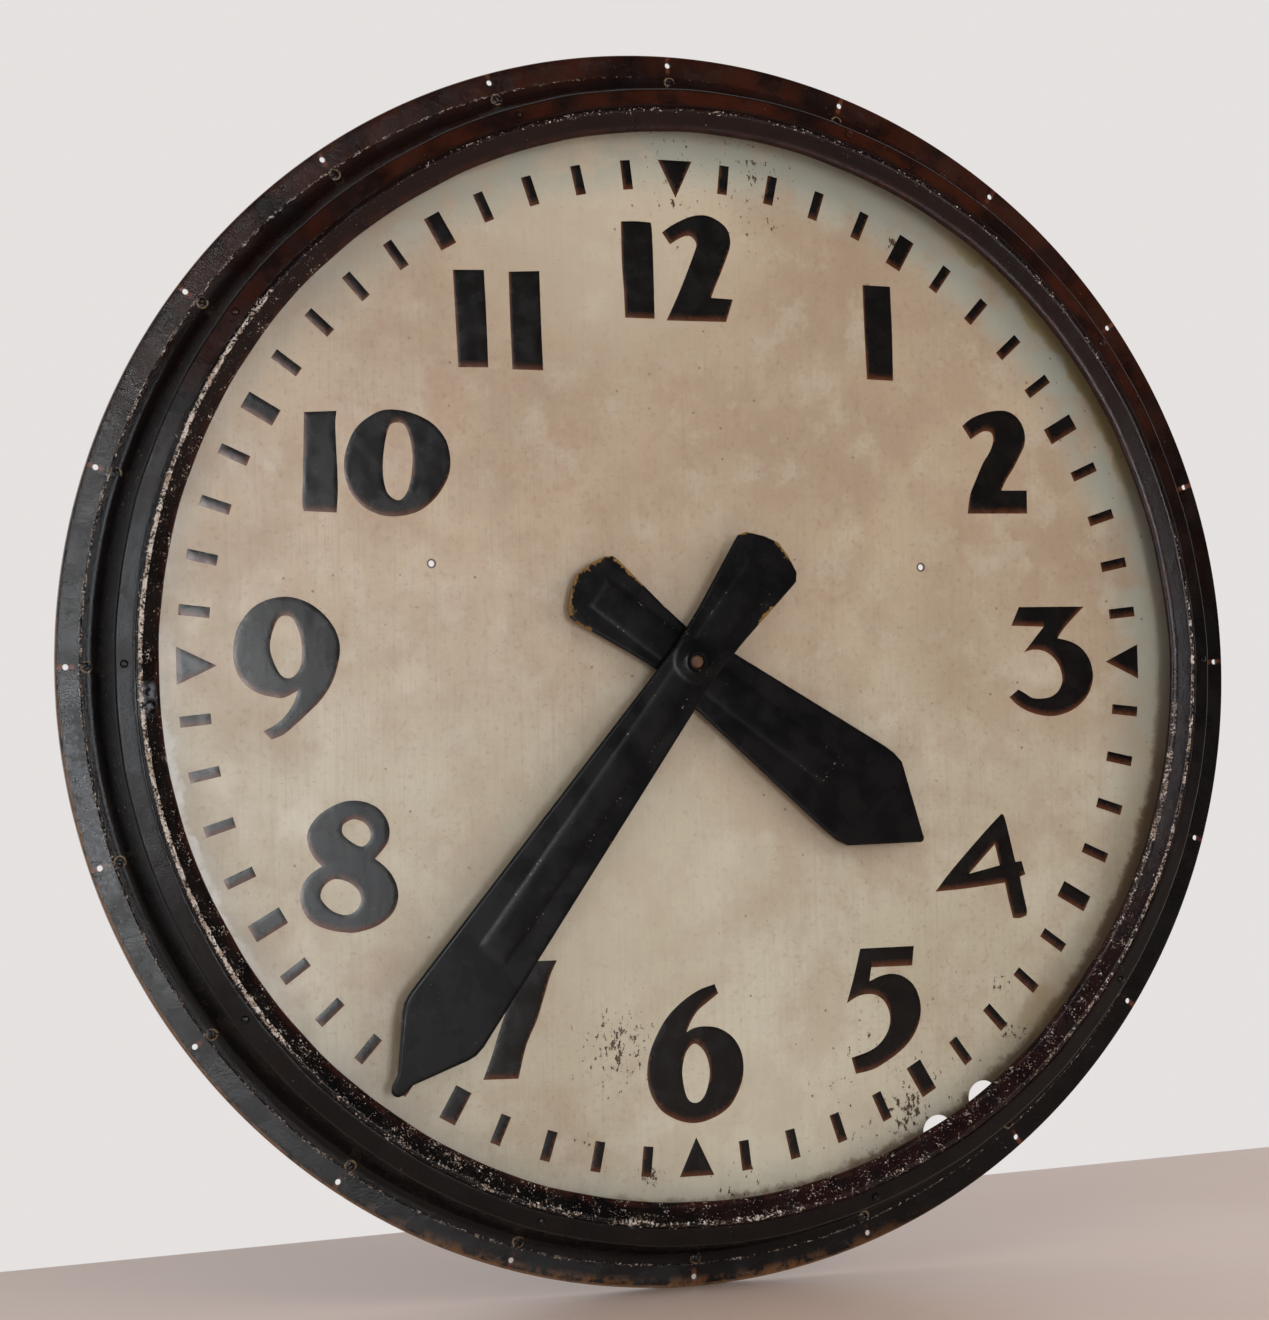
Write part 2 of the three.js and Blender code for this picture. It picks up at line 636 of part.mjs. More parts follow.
// Pressed sheet: a flat blade, a raised hollow rib along it and a domed boss round the hub.
function pressedHand({ from, sheet }, outline, rib, boss, boreRadius) {
  const face = from + sheet;
  const blade = plate(outline, from, sheet);
  const ribTop = tapered(
    ribOutline(rib.tail, rib.tip, rib.halfWidth), face - 0.4,
    ribOutline(rib.tail + 3, rib.tip - 3, rib.halfWidth - 3), face + HAND_RIB_RISE,
  );
  const ribHollow = tapered(
    ribOutline(rib.tail + 1, rib.tip - 1, rib.halfWidth - 1), from - 0.4,
    ribOutline(rib.tail + 4, rib.tip - 4, rib.halfWidth - 4), from + HAND_RIB_RISE,
  );
  const dome = turned([
    [0, from + 0.6], [boss.radius, from + 0.6], [boss.radius, face],
    [boss.radius * 0.8, face + boss.rise * 0.5], [boss.radius * 0.5, face + boss.rise * 0.9],
    [boss.radius * 0.3, face + boss.rise], [0, face + boss.rise],
  ], 24);
  const bore = disc(boreRadius, from - 5, 20, 20);
  return cut(join(cut(join(blade, ribTop), ribHollow), dome), bore);
}

function minuteHand() {
  const outline = bothSides([
    [0, -121.5], [-13, -118], [-27, -111.5], [-31, -105], [-30.6, -100], [-23.5, -39],
    [-20.8, 0], [-31.8, 242], [-36.4, 346], [-35.4, 355], [-32.4, 361.5], [-7, 402],
    [-5.8, 411.5], [-3.4, 415.4], [0, 416.4],
  ]);
  const rib = { tail: -98, tip: 286, halfWidth: 14 };
  const hand = pressedHand(MINUTE_HAND, outline, rib, { radius: 25, rise: 4.6 }, 8.4);
  return hand.rotateY(radians(MINUTE_HAND.angle));
}

function hourHand() {
  const outline = bothSides([
    [0, -118], [-12, -115], [-26, -108], [-30.6, -102.5], [-31, -97], [-23.8, -45],
    [-21.5, -20], [-25.5, 0], [-36.8, 108], [-43.8, 176], [-44, 186], [-42, 196],
    [-4.6, 244.6], [-2.6, 247.6], [0, 248.6],
  ]);
  const rib = { tail: -96, tip: 150, halfWidth: 15 };
  const hand = pressedHand(HOUR_HAND, outline, rib, { radius: 22, rise: 3 }, HOUR_PIPE.outer + GAP);
  return hand.rotateY(radians(HOUR_HAND.angle));
}

// The bush in the minute hand's boss, gripping the arbor's end and painted over with the hand.
function minuteBush() {
  const from = MINUTE_HAND.from - 1.6;
  const to = MINUTE_HAND.from + MINUTE_HAND.sheet + 5.2;
  return tube(ARBOR_RADIUS + GAP, 8.1, from, to, 20);
}

// The collet that grips the hour pipe behind the hour hand, with its clamping screw's boss.
function hourCollet() {
  const to = HOUR_HAND.from - GAP;
  const ring = tube(HOUR_PIPE.outer + GAP, 13, to - 6.4, to, 20);
  const ear = new THREE.BoxGeometry(6, 5, 6).translate(15, -(to - 3.2), 0);
  return join(ring, ear);
}

// ---------------------------------------------------------------- assembly

const group = new THREE.Group();

function add(name, geometry, material) {
  const mesh = new THREE.Mesh(geometry, material);
  mesh.name = name;
  group.add(mesh);
}

function addEach(name, places, build, material) {
  places.forEach(([x, z], i) => add(`${name}_${i + 1}`, build(x, z), material));
}

add('flange_ring', flangeRing(), BLACK_PAINT);
add('bezel_ring', bezelRing(), BLACK_PAINT);
bandScrewAngles().forEach((angle, i) => add(`band_screw_${i + 1}`, bandScrew(angle), BLACK_PAINT));
add('dial_ring', dialRing(), BLACK_PAINT);
add('dial_plate', dialPlate(), CREAM_PAINT);
addEach('dial_bolt', dialBoltPlaces(), dialBolt, GALVANISED);
add('support_bar', supportBar(), GALVANISED);
addEach('bar_screw', barScrewPlaces(), barScrew, GALVANISED);

add('back_plate', backPlate(), BRASS);
add('front_plate', frontPlate(), BRASS);
addEach('pillar', PILLARS, pillar, BRASS);
addEach('plate_screw', PLATE_SCREWS, plateScrew, STEEL);
add('hour_bush', hourBush(), BRASS);

add('magnet_yoke', magnetYoke(), STEEL);
add('magnet_core_1', magnetCore(COIL_Z), STEEL);
add('magnet_core_2', magnetCore(-COIL_Z), STEEL);
add('coil_1', coil(COIL_Z), COIL_TAPE);
add('coil_2', coil(-COIL_Z), COIL_TAPE);
add('armature', armature(), STEEL);
add('drive_pawl', drivePawl(), STEEL);
add('stop_pawl', stopPawl(), STEEL);
add('return_spring', returnSpring(), STEEL);

add('centre_arbor', centreArbor(), RUSTY_STEEL);
add('ratchet_wheel', ratchetWheel(), BRASS);
add('cannon_pinion', cannonPinion(), STEEL);
add('minute_wheel', minuteWheel(), BRASS);
add('minute_pinion', minutePinion(), STEEL);
add('hour_wheel', hourWheel(), BRASS);
add('hour_pipe', hourPipe(), STEEL);

add('hour_collet', hourCollet(), BRASS);
add('hour_hand', hourHand(), HAND_PAINT);
add('minute_hand', minuteHand(), HAND_PAINT);
add('minute_bush', minuteBush(), HAND_PAINT);

add('terminal_block', terminalBlock(), BAKELITE);
add('terminal_screw_1', terminalScrew(-1), BRASS);
add('terminal_screw_2', terminalScrew(1), BRASS);

export default group;
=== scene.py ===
"""Visual model of the one-metre flush-fixed wall clock.

Frame: metres, +Z up, the clock faces -Y and the wall is the plane y = 0.
Shapes are written in millimetres: a depth d is the plane y = -d, a radius r is
measured from the dial's centre, and clock angles run clockwise from twelve.
"""

import json
import math

import bmesh
import bpy
import numpy as np
from mathutils import Matrix, Vector, geometry


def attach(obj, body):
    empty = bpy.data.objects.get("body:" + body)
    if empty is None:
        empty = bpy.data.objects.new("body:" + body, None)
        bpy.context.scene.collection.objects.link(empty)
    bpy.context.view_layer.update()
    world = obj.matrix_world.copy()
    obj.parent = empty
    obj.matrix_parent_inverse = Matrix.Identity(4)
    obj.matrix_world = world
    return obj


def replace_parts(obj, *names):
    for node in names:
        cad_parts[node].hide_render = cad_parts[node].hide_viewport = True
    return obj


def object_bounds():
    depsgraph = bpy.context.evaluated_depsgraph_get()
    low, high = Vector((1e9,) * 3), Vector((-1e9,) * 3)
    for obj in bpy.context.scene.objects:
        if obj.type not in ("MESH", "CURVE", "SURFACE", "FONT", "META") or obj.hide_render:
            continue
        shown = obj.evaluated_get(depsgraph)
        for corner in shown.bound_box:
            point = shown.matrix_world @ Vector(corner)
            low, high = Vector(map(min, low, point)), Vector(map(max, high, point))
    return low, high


MM = 0.001

# ---------------------------------------------------------------- dimensions, mm

FIXING_HOLES = 20
FIXING_HOLE_RADIUS = 2.3
FIXING_PITCH_RADIUS = 492.4
SEAM_HEAD = {"pitch_radius": 477.2, "depth": 10.9, "radius": 4.2, "rise": 1.5}

DIAL_FACE_DEPTH = 20
DIAL_SHEET = 1.5
DIAL_RADIUS = 456
CENTRE_HOLE_RADIUS = 13.5
SMALL_HOLE = {"radius": 2.5, "x": 210, "z": 79.5}
CABLE_HOLE = {"radius": 13.5, "pitch_radius": 442, "angles": (144.9, 151.3)}
LIP_BACK_DEPTH = 44
# Paint on the dial: how it rises from its edge to its full thickness over a shoulder.
PAINT_FILM = {"thickness": 0.22, "edge_share": 0.35, "shoulder": 1.2, "gap": 0.02}
# Edges sharper than this many degrees stay sharp, on sheet and on small rounded parts.
SHEET_CREASE = 35
ROUND_CREASE = 50
# How wide the edges of the CAD parts that still show are softened.
SOFTENED_EDGE = 0.25

# Profiles turned about the dial's axis, as (radius, depth).
FLANGE_FRONT = [
    (500, 0.2), (500, 6.6), (499.4, 7.8), (498, 8), (490, 7.8), (480, 7.9), (468, 8), (456.4, 8),
]
FLANGE_BACK = [(456, 7.6), (456, 5.6), (470, 5.5), (485, 5.5), (496.4, 5.5), (497.2, 4.6), (497.4, 0.2)]
BEZEL_FRONT = [
    (482, 9.4), (481.4, 10.4), (479, 10.8), (476, 11.4), (473.2, 13), (471.2, 16), (469.8, 20),
    (468.6, 25), (467.2, 30.5), (465.6, 36), (464, 41.4), (462.6, 46.2), (461.7, 49.2),
    (460.7, 50.7), (459.2, 51.4), (455, 52.9), (451, 54.4), (448.4, 55.3), (447.2, 55.4),
    (446.4, 54.8), (445.6, 55.2), (444.4, 56.3), (443, 56.6), (441.6, 56.1), (439, 54.2),
    (435.6, 51.5), (433, 49.4), (431.4, 48.5), (429.8, 47.9), (428.6, 46.9), (427.9, 45.8),
]
BEZEL_BACK = [
    (427.9, 44.6), (429.4, 45.2), (435.6, 49.2), (441.4, 53.4), (444.4, 53.9), (447.2, 52.7),
    (453, 51), (459, 49.1), (461.4, 43), (463.8, 34.4), (466, 26), (468, 18.4), (471.2, 12.2),
    (475.6, 9), (481.4, 8.5),
]
DIAL_RING_FRONT = [
    (447.6, 50.8), (447.6, 52.2), (449, 52), (457.4, 49.4), (458.5, 48.6), (458.6, 47), (458.6, 40),
    (458.6, 30), (458.6, 23), (458.4, 20.6),
]
DIAL_RING_BACK = [
    (457, 20.3), (450, 20.3), (443.9, 20.3), (443.5, 21), (444, 22.1), (450, 22.2), (455.6, 22.4),
    (456.8, 24), (456.8, 32), (456.8, 44), (456.2, 47.4), (453, 48.9),
]

# Unevenness of the hand-formed bezel, each (height, waves round the ring, phase).
RADIAL_WAVES = ((0.35, 3, 0.6), (0.25, 7, 2.1), (0.2, 13, 0), (0.16, 29, 1.3), (0.1, 53, 0.4))
DEPTH_WAVES = ((0.3, 5, 1.1), (0.12, 23, 0))
# The dent in the bezel's inner roll, and the worn places on the paint.
DENT = {"angle": 266.5, "radius": 438, "half_angle": 1.7, "half_width": 6, "inward": 1.4, "depth": 3.0}
# Chipped arcs of the lip: (radii), soft margin, clock angle, half width and soft margin, amount.
LIP_CHIPS = (
    ((441.2, 445.2), 0.7, 268, 44, 9, 0.185),
    ((441.4, 445.4), 0.9, 110, 32, 12, 0.15),
    ((440, 446), 1.5, 200, 40, 18, 0.115),
    ((441, 446), 1.5, 10, 50, 20, 0.085),
    ((400, 520), 1.0, 148, 34, 14, 0.078),
    ((400, 520), 1.0, 212, 44, 16, 0.076),
    ((400, 520), 1.0, 280, 40, 14, 0.066),
    ((428.6, 433.2), 0.8, 108, 16, 8, 0.12),
)
# Spots on the dial: (x, z, reach, soft margin, amount).
DIAL_BLUSH = (
    (-160, 190, 120, 130, 1), (150, -20, 90, 90, 1), (20, 190, 60, 110, 1), (-300, -250, 60, 80, 0.7),
)
# Paler patches on the dial.
DIAL_PALE_PATCHES = ((-50, -190, 80, 130, 1), (70, -390, 100, 70, 1), (-60, 368, 110, 60, 1))
DIAL_FLAKES = (
    (-62, -305, 34, 40, 1.05), (-92, -378, 10, 16, 1), (-41, -408, 12, 10, 1), (30, -424, 34, 12, 0.6),
    (188, -370, 22, 26, 1.3), (284, -312, 12, 24, 1.25), (268, -264, 12, 22, 1.1), (70, 406, 16, 24, 1.1),
    (192, 350, 12, 16, 1.2), (-5, 378, 12, 18, 1), (40, 405, 90, 40, 0.5), (180, -380, 110, 50, 0.5),
)

MINUTE_HAND = {
    "angle": 217.3, "front": 43.8, "sheet": 1.6, "bore": 8.4,
    "rib": {"tail": -98, "tip": 286, "half_width": 14, "rise": 0.45},
    "boss": {"radius": 20, "rise": 3.6},
    "outline": [
        (-121.5, 0), (-118, 13), (-111.5, 27), (-105, 31), (-100, 30.6), (-39, 23.5), (0, 20.8),
        (242, 31.8), (346, 36.4), (355, 35.4), (361.5, 32.4), (402, 7), (411.5, 5.8),
        (415.4, 3.4), (416.4, 0),
    ],
}
HOUR_HAND = {
    "angle": 126.4, "front": 33, "sheet": 1.6, "bore": 8.3,
    "rib": {"tail": -96, "tip": 150, "half_width": 15, "rise": 0.45},
    "boss": {"radius": 20, "rise": 2.2},
    "outline": [
        (-118, 0), (-115, 12), (-108, 26), (-102.5, 30.6), (-97, 31), (-45, 23.8), (-20, 21.5),
        (0, 25.5), (108, 36.8), (176, 43.8), (186, 44), (196, 42), (244.6, 4.6),
        (247.6, 2.6), (248.6, 0),
    ],
}

MINUTE_MARK = {"inner": 387, "outer": 411, "half_width": 4.2}
FIVE_MINUTE_MARK = {"inner": 382.6, "outer": 410.6, "half_width": 7.1}
QUARTER_MARK = {"inner": 380, "outer": 410.8, "half_width": 14.7}

# Painted numerals: each outline is a loop of runs of (x, z) on the dial. A smooth curve follows a
# run from the last point of the run before it, and runs meet at corners. A lone run has no corner.
NUMERALS = {
    "numeral_12": [
        [[(-35, 359.2), (-23.4, 358.9)], [(-21.2, 355.5), (-20.4, 325), (-20.2, 280)], [(-45.4, 280)],
         [(-46, 301), (-47.2, 325), (-47.4, 358.4)]],
        [[(-5, 356.4), (5, 362), (14, 365.6), (23, 367), (31, 365.6), (39, 361.4), (44.4, 356),
          (46.8, 348), (46.2, 341), (43, 332), (38, 320), (33, 309), (29, 299)], [(48, 298.4)],
         [(41.6, 279.6)], [(-10, 279)], [(-5, 289), (3, 306), (11, 325), (15.4, 336), (17.2, 342),
          (15, 347), (10, 349.4), (3, 347), (-5.6, 341.6)], [(-12.4, 351)]],
    ],
    "numeral_1": [
        [[(188.6, 314.6)], [(189.4, 275), (189.2, 235.4)], [(165.6, 236)], [(164.4, 275), (163.6, 315)]],
    ],
    "numeral_2": [
        [[(261, 206), (273, 210.6), (283, 212.6), (293, 212.6), (301, 209), (307, 202), (309.8, 193),
          (309, 184), (305, 176), (298, 164), (291, 154), (286.2, 145)], [(310, 145.4)], [(309.8, 125.8)],
         [(254.4, 125)], [(257, 140), (263, 154), (270, 168), (276, 177), (279.6, 185), (279.8, 191),
          (277.4, 194.4), (272, 195), (267, 193), (259, 187.8)], [(251.4, 199)]],
    ],
    "numeral_3": [
        [[(360.8, 47)], [(351, 38), (341, 28), (335, 20)], [(343, 18.4), (351, 15.6), (359, 10),
          (364.6, 2), (367.4, -8), (367, -17), (363, -27), (356, -35), (347, -41), (337, -44.6),
          (327, -46), (315, -44.6), (303, -40.6), (294, -35), (288.4, -29.6)], [(297, -23.2)],
         [(304, -27), (310, -30.4), (318, -31), (327, -29.6), (334, -25), (338, -18), (338, -10),
          (335, -2), (329, 5), (321, 9.4), (313, 10.4), (307, 9.4), (303, 8)], [(322.4, 29.8)],
         [(292, 30.6)], [(299.6, 46.4)]],
    ],
    "numeral_4": [
        [[(231, -173), (261, -143), (277.6, -127.6)], [(280.6, -130), (286, -152), (289.6, -168)],
         [(295.4, -167.4)], [(298.6, -178.6)], [(293.4, -180.4)], [(296, -194), (299, -208),
          (298.6, -213)], [(292, -215), (286, -214.6)], [(282, -198), (279.4, -185)], [(245, -188.6),
          (215.4, -190.6)]],
        [[(275, -170.4)], [(246.6, -176.6)], [(271, -152.6)]],
    ],
    "numeral_5": [
        [[(194.6, -234.6)], [(192.6, -250.6)], [(156, -250.6)], [(154, -262)], [(163, -258.4),
          (173, -256.6), (183, -258.6), (192, -265), (197.6, -275), (199.4, -287), (197, -299),
          (190, -311), (179, -321), (167, -328.4), (155, -334), (140, -336.8)], [(136.2, -323.6)],
         [(152, -319), (162, -313), (169, -304), (171.6, -295), (170.6, -286), (166, -278), (159, -273.4),
          (151, -272.4), (143, -274), (133.4, -279)], [(139, -262), (143, -248), (146.6, -235)]],
    ],
    "numeral_6": [
        [[(21.6, -266)], [(12, -273), (4, -279), (-2, -287), (-6.4, -296)], [(0, -293), (9, -292),
          (20, -293.6), (30, -299), (37, -307), (41, -317), (41.8, -328), (40, -338), (35, -349),
          (28, -358), (16, -365), (1, -368.6), (-14, -366), (-28, -358), (-36, -347), (-39.6, -336),
          (-40.2, -324), (-38, -312), (-33, -300), (-26, -288), (-18, -278.6), (-6, -269), (6, -262.4),
          (18.6, -258.6)]],
        [[(7, -310), (11, -318), (12.8, -328), (11.4, -338), (8, -347), (3, -352), (-3, -352),
          (-7.4, -347), (-10, -336), (-10.6, -326), (-8.6, -316), (-5, -309), (0.4, -305.4)]],
    ],
    "numeral_7": [
        [[(-113.6, -234.4)], [(-120, -248), (-130, -278), (-140, -300), (-147, -325.6)], [(-175.6, -325)],
         [(-168, -306), (-159, -280), (-146.6, -250.6)], [(-193, -250.6)], [(-190, -234)]],
    ],
    "numeral_8": [
        [[(-252, -156), (-246, -163), (-242, -172), (-241.2, -181), (-244, -190), (-250, -197),
          (-260, -203), (-272, -206.2), (-280, -206.8), (-292, -205), (-304, -201), (-312, -195),
          (-316.6, -187), (-318.2, -178), (-316, -169), (-310, -161), (-301, -155)], [(-307, -148),
          (-311, -140), (-312.2, -132), (-309.6, -124), (-303, -116), (-294, -110), (-284, -106),
          (-275, -105), (-266, -106.4), (-257, -110.6), (-251, -117), (-247.6, -125), (-247.4, -133),
          (-250, -140), (-259, -150.4)]],
        [[(-267, -122.4), (-262.4, -129), (-263, -135), (-267, -140), (-272, -140), (-280, -135),
          (-284.4, -130), (-284, -124), (-279, -120.4), (-274, -119.6)]],
        [[(-280, -168), (-273, -174), (-270.6, -181), (-273, -188), (-279, -192.4), (-286, -192.6),
          (-294, -189), (-300, -183), (-302.4, -178), (-300, -171), (-294, -166), (-288, -165.4)]],
    ],
    "numeral_9": [
        [[(-329, -25), (-339, -24), (-349, -21), (-359, -14), (-365, -4), (-367.4, 7), (-367, 16),
          (-364, 28), (-357, 39), (-349, 46.4), (-339, 51), (-327, 53), (-317, 51.6), (-307, 47.6),
          (-297, 40), (-289, 30), (-285, 20), (-284.2, 10), (-286.6, -2), (-291, -14), (-299, -26),
          (-309, -36), (-319, -45), (-329, -53), (-338.6, -57)], [(-345, -50.4)], [(-336, -46),
          (-327, -38), (-321, -29), (-317.6, -19.6)]],
        [[(-321, 36), (-316, 26), (-314, 14), (-314.6, 2), (-318, -6), (-324, -10), (-330, -8), (-335, 0),
          (-338.4, 10), (-338.6, 18), (-336, 28), (-332, 36), (-326.6, 38.4)]],
    ],
    "numeral_10": [
        [[(-284, 198.2)], [(-285, 185), (-283.8, 141), (-285, 118.6)], [(-311, 119.4)], [(-312, 127),
          (-311, 155), (-309.6, 196.6)]],
        [[(-229, 199.4), (-219, 196.4), (-209, 191.4), (-201, 184), (-195.6, 175), (-193.2, 162),
          (-194.6, 150), (-200, 139), (-207, 130), (-217, 122), (-227, 118), (-239, 116.2), (-251, 117.4),
          (-263, 123), (-272, 132), (-277, 143), (-278.8, 155), (-277, 167), (-272, 180), (-265, 189),
          (-256, 195.6), (-248, 199.4), (-240, 200.4)]],
        [[(-231.6, 189.4), (-228, 185), (-225, 175), (-223.8, 163), (-225, 149), (-228, 137), (-233, 130),
          (-238, 129.4), (-244, 134), (-247, 143), (-247.8, 155), (-246.6, 169), (-244, 182),
          (-241.4, 188), (-237, 190.2)]],
    ],
    "numeral_11": [
        [[(-163, 314)], [(-161.6, 275), (-160.8, 236)], [(-185.4, 235.4)], [(-187, 275), (-188.4, 313)]],
        [[(-117, 315)], [(-116.4, 275), (-115.4, 235)], [(-141, 235)], [(-142, 275), (-142.6, 313.4)]],
    ],
}

# ---------------------------------------------------------------- mesh helpers


def place(radius, clock_angle, depth):
    """The point at a radius and clock angle on the plane of a depth, in metres."""
    turn = math.radians(clock_angle)
    return Vector((radius * math.sin(turn), -depth, radius * math.cos(turn))) * MM


def finished(name, mesh, materials, body, clock_angle=0):
    """Puts a mesh in the scene as a piece that rides on a body, with the materials given."""
    for material in materials:
        mesh.materials.append(material)
    piece = bpy.data.objects.new(name, mesh)
    bpy.context.scene.collection.objects.link(piece)
    piece.rotation_euler = (0, math.radians(clock_angle), 0)
    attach(piece, body)
    return piece


def mesh_of(name, corners, faces, crease=SHEET_CREASE):
    """A mesh from corners in metres, with its faces turned outward, smooth but for sharp creases."""
    mesh = bpy.data.meshes.new(name)
    mesh.from_pydata([tuple(corner) for corner in corners], [], faces)
    mesh.validate()
    tidy = bmesh.new()
    tidy.from_mesh(mesh)
    bmesh.ops.recalc_face_normals(tidy, faces=tidy.faces)
    tidy.to_mesh(mesh)
    tidy.free()
    shade(mesh, crease)
    return mesh


def shade(mesh, crease):
    """Smooth shading, with edges sharper than an angle in degrees left sharp."""
    mesh.shade_smooth()
    mesh.set_sharp_from_angle(angle=math.radians(crease))


def curve_through(points, spacing, closed=False):
    """Points about every spacing along a Catmull-Rom curve through the given points."""
    known = [np.array(point, float) for point in points]
    if closed:
        known = known[:-1] if np.allclose(known[0], known[-1]) else known
        ring = [known[-1]] + known + [known[0], known[1]]
    else:
        ring = [2 * known[0] - known[1]] + known + [2 * known[-1] - known[-2]]
    sampled = []
    for before, start, end, after in zip(ring, ring[1:], ring[2:], ring[3:]):
        steps = max(1, round(np.linalg.norm(end - start) / spacing))
        for step in range(steps):
            t = step / steps
            sampled.append(
                0.5 * (
                    2 * start + (end - before) * t
                    + (2 * before - 5 * start + 4 * end - after) * t ** 2
                    + (3 * start - before - 3 * end + after) * t ** 3
                )
            )
    if not closed:
        sampled.append(known[-1])
    return sampled


def turned(name, front, back, segments, spacing, shape=None):
    """A closed sheet section turned about the dial's axis. Faces of the back half get material 1."""
    front_half = curve_through(front, spacing)
    back_half = curve_through(back, spacing * 2)
    section = front_half + back_half
    corners, faces = [], []
    for step in range(segments):
        angle = 360 * step / segments
        for radius, depth in section:
            if shape:
                radius, depth = shape(radius, depth, angle)
            corners.append(place(radius, angle, depth))
    count = len(section)
    for step in range(segments):
        here, there = step * count, (step + 1) % segments * count
        for i in range(count):
            j = (i + 1) % count
            faces.append((here + i, here + j, there + j, there + i))
    mesh = mesh_of(name, corners, faces)
    front_count = len(front_half)
    for polygon in mesh.polygons:
        polygon.material_index = int(polygon.index % count >= front_count)
    return mesh


def drilled(mesh, cutters):
    """The mesh with cylinders taken out of it. A cutter is (centre, radius, half length), along Y."""
    tool = bmesh.new()
    for centre, radius, half_length in cutters:
        matrix = Matrix.Translation(centre) @ Matrix.Rotation(math.radians(90), 4, "X")
        bmesh.ops.create_cone(
            tool, cap_ends=True, segments=48, radius1=radius * MM, radius2=radius * MM,
            depth=2 * half_length * MM, matrix=matrix,
        )
    tool_mesh = bpy.data.meshes.new("drill")
    tool.to_mesh(tool_mesh)
    tool.free()
    blank = bpy.data.objects.new("blank", mesh)
    drill = bpy.data.objects.new("drill", tool_mesh)
    for item in (blank, drill):
        bpy.context.scene.collection.objects.link(item)
    boolean = blank.modifiers.new("drill", "BOOLEAN")
    boolean.object = drill
    boolean.operation = "DIFFERENCE"
    boolean.solver = "EXACT"
    evaluated = blank.evaluated_get(bpy.context.evaluated_depsgraph_get())
    result = bpy.data.meshes.new_from_object(evaluated)
    for item in (blank, drill):
        bpy.data.objects.remove(item)
    return result


def numeric(mesh, name, values):
    """Stores one number per corner on the mesh, for a material to read."""
    attribute = mesh.attributes.new(name, "FLOAT", "POINT")
    attribute.data.foreach_set("value", np.asarray(values, np.float32))


def flat_corners(mesh):
    """The mesh's corners as (x, z) in millimetres."""
    places = np.zeros(len(mesh.vertices) * 3)
    mesh.vertices.foreach_get("co", places)
    return places.reshape(-1, 3)[:, [0, 2]] / MM


def gap_to_outline(points, outlines):
    """Distance of each point from the nearest of the closed outlines."""
    nearest = np.full(len(points), 1e9)
    for outline in outlines:
        starts = np.array(outline)
        spans = np.roll(starts, -1, axis=0) - starts
        lengths = np.maximum((spans ** 2).sum(1), 1e-12)
        for start, span, length in zip(starts, spans, lengths):
            share = np.clip((points - start) @ span / length, 0, 1)
            nearest = np.minimum(nearest, np.hypot(*(points - start - share[:, None] * span).T))
    return nearest


def inside_outlines(points, outlines):
    """True for each point that an odd number of the closed outlines go round."""
    inside = np.zeros(len(points), bool)
    for outline in outlines:
        starts = np.array(outline)
        ends = np.roll(starts, -1, axis=0)
        for (ax, az), (bx, bz) in zip(starts, ends):
            spans = (az > points[:, 1]) != (bz > points[:, 1])
            if spans.any():
                crossing = ax + (points[:, 1] - az) * (bx - ax) / (bz - az + 1e-12)
                inside ^= spans & (points[:, 0] < crossing)
    return inside


# ---------------------------------------------------------------- material helpers


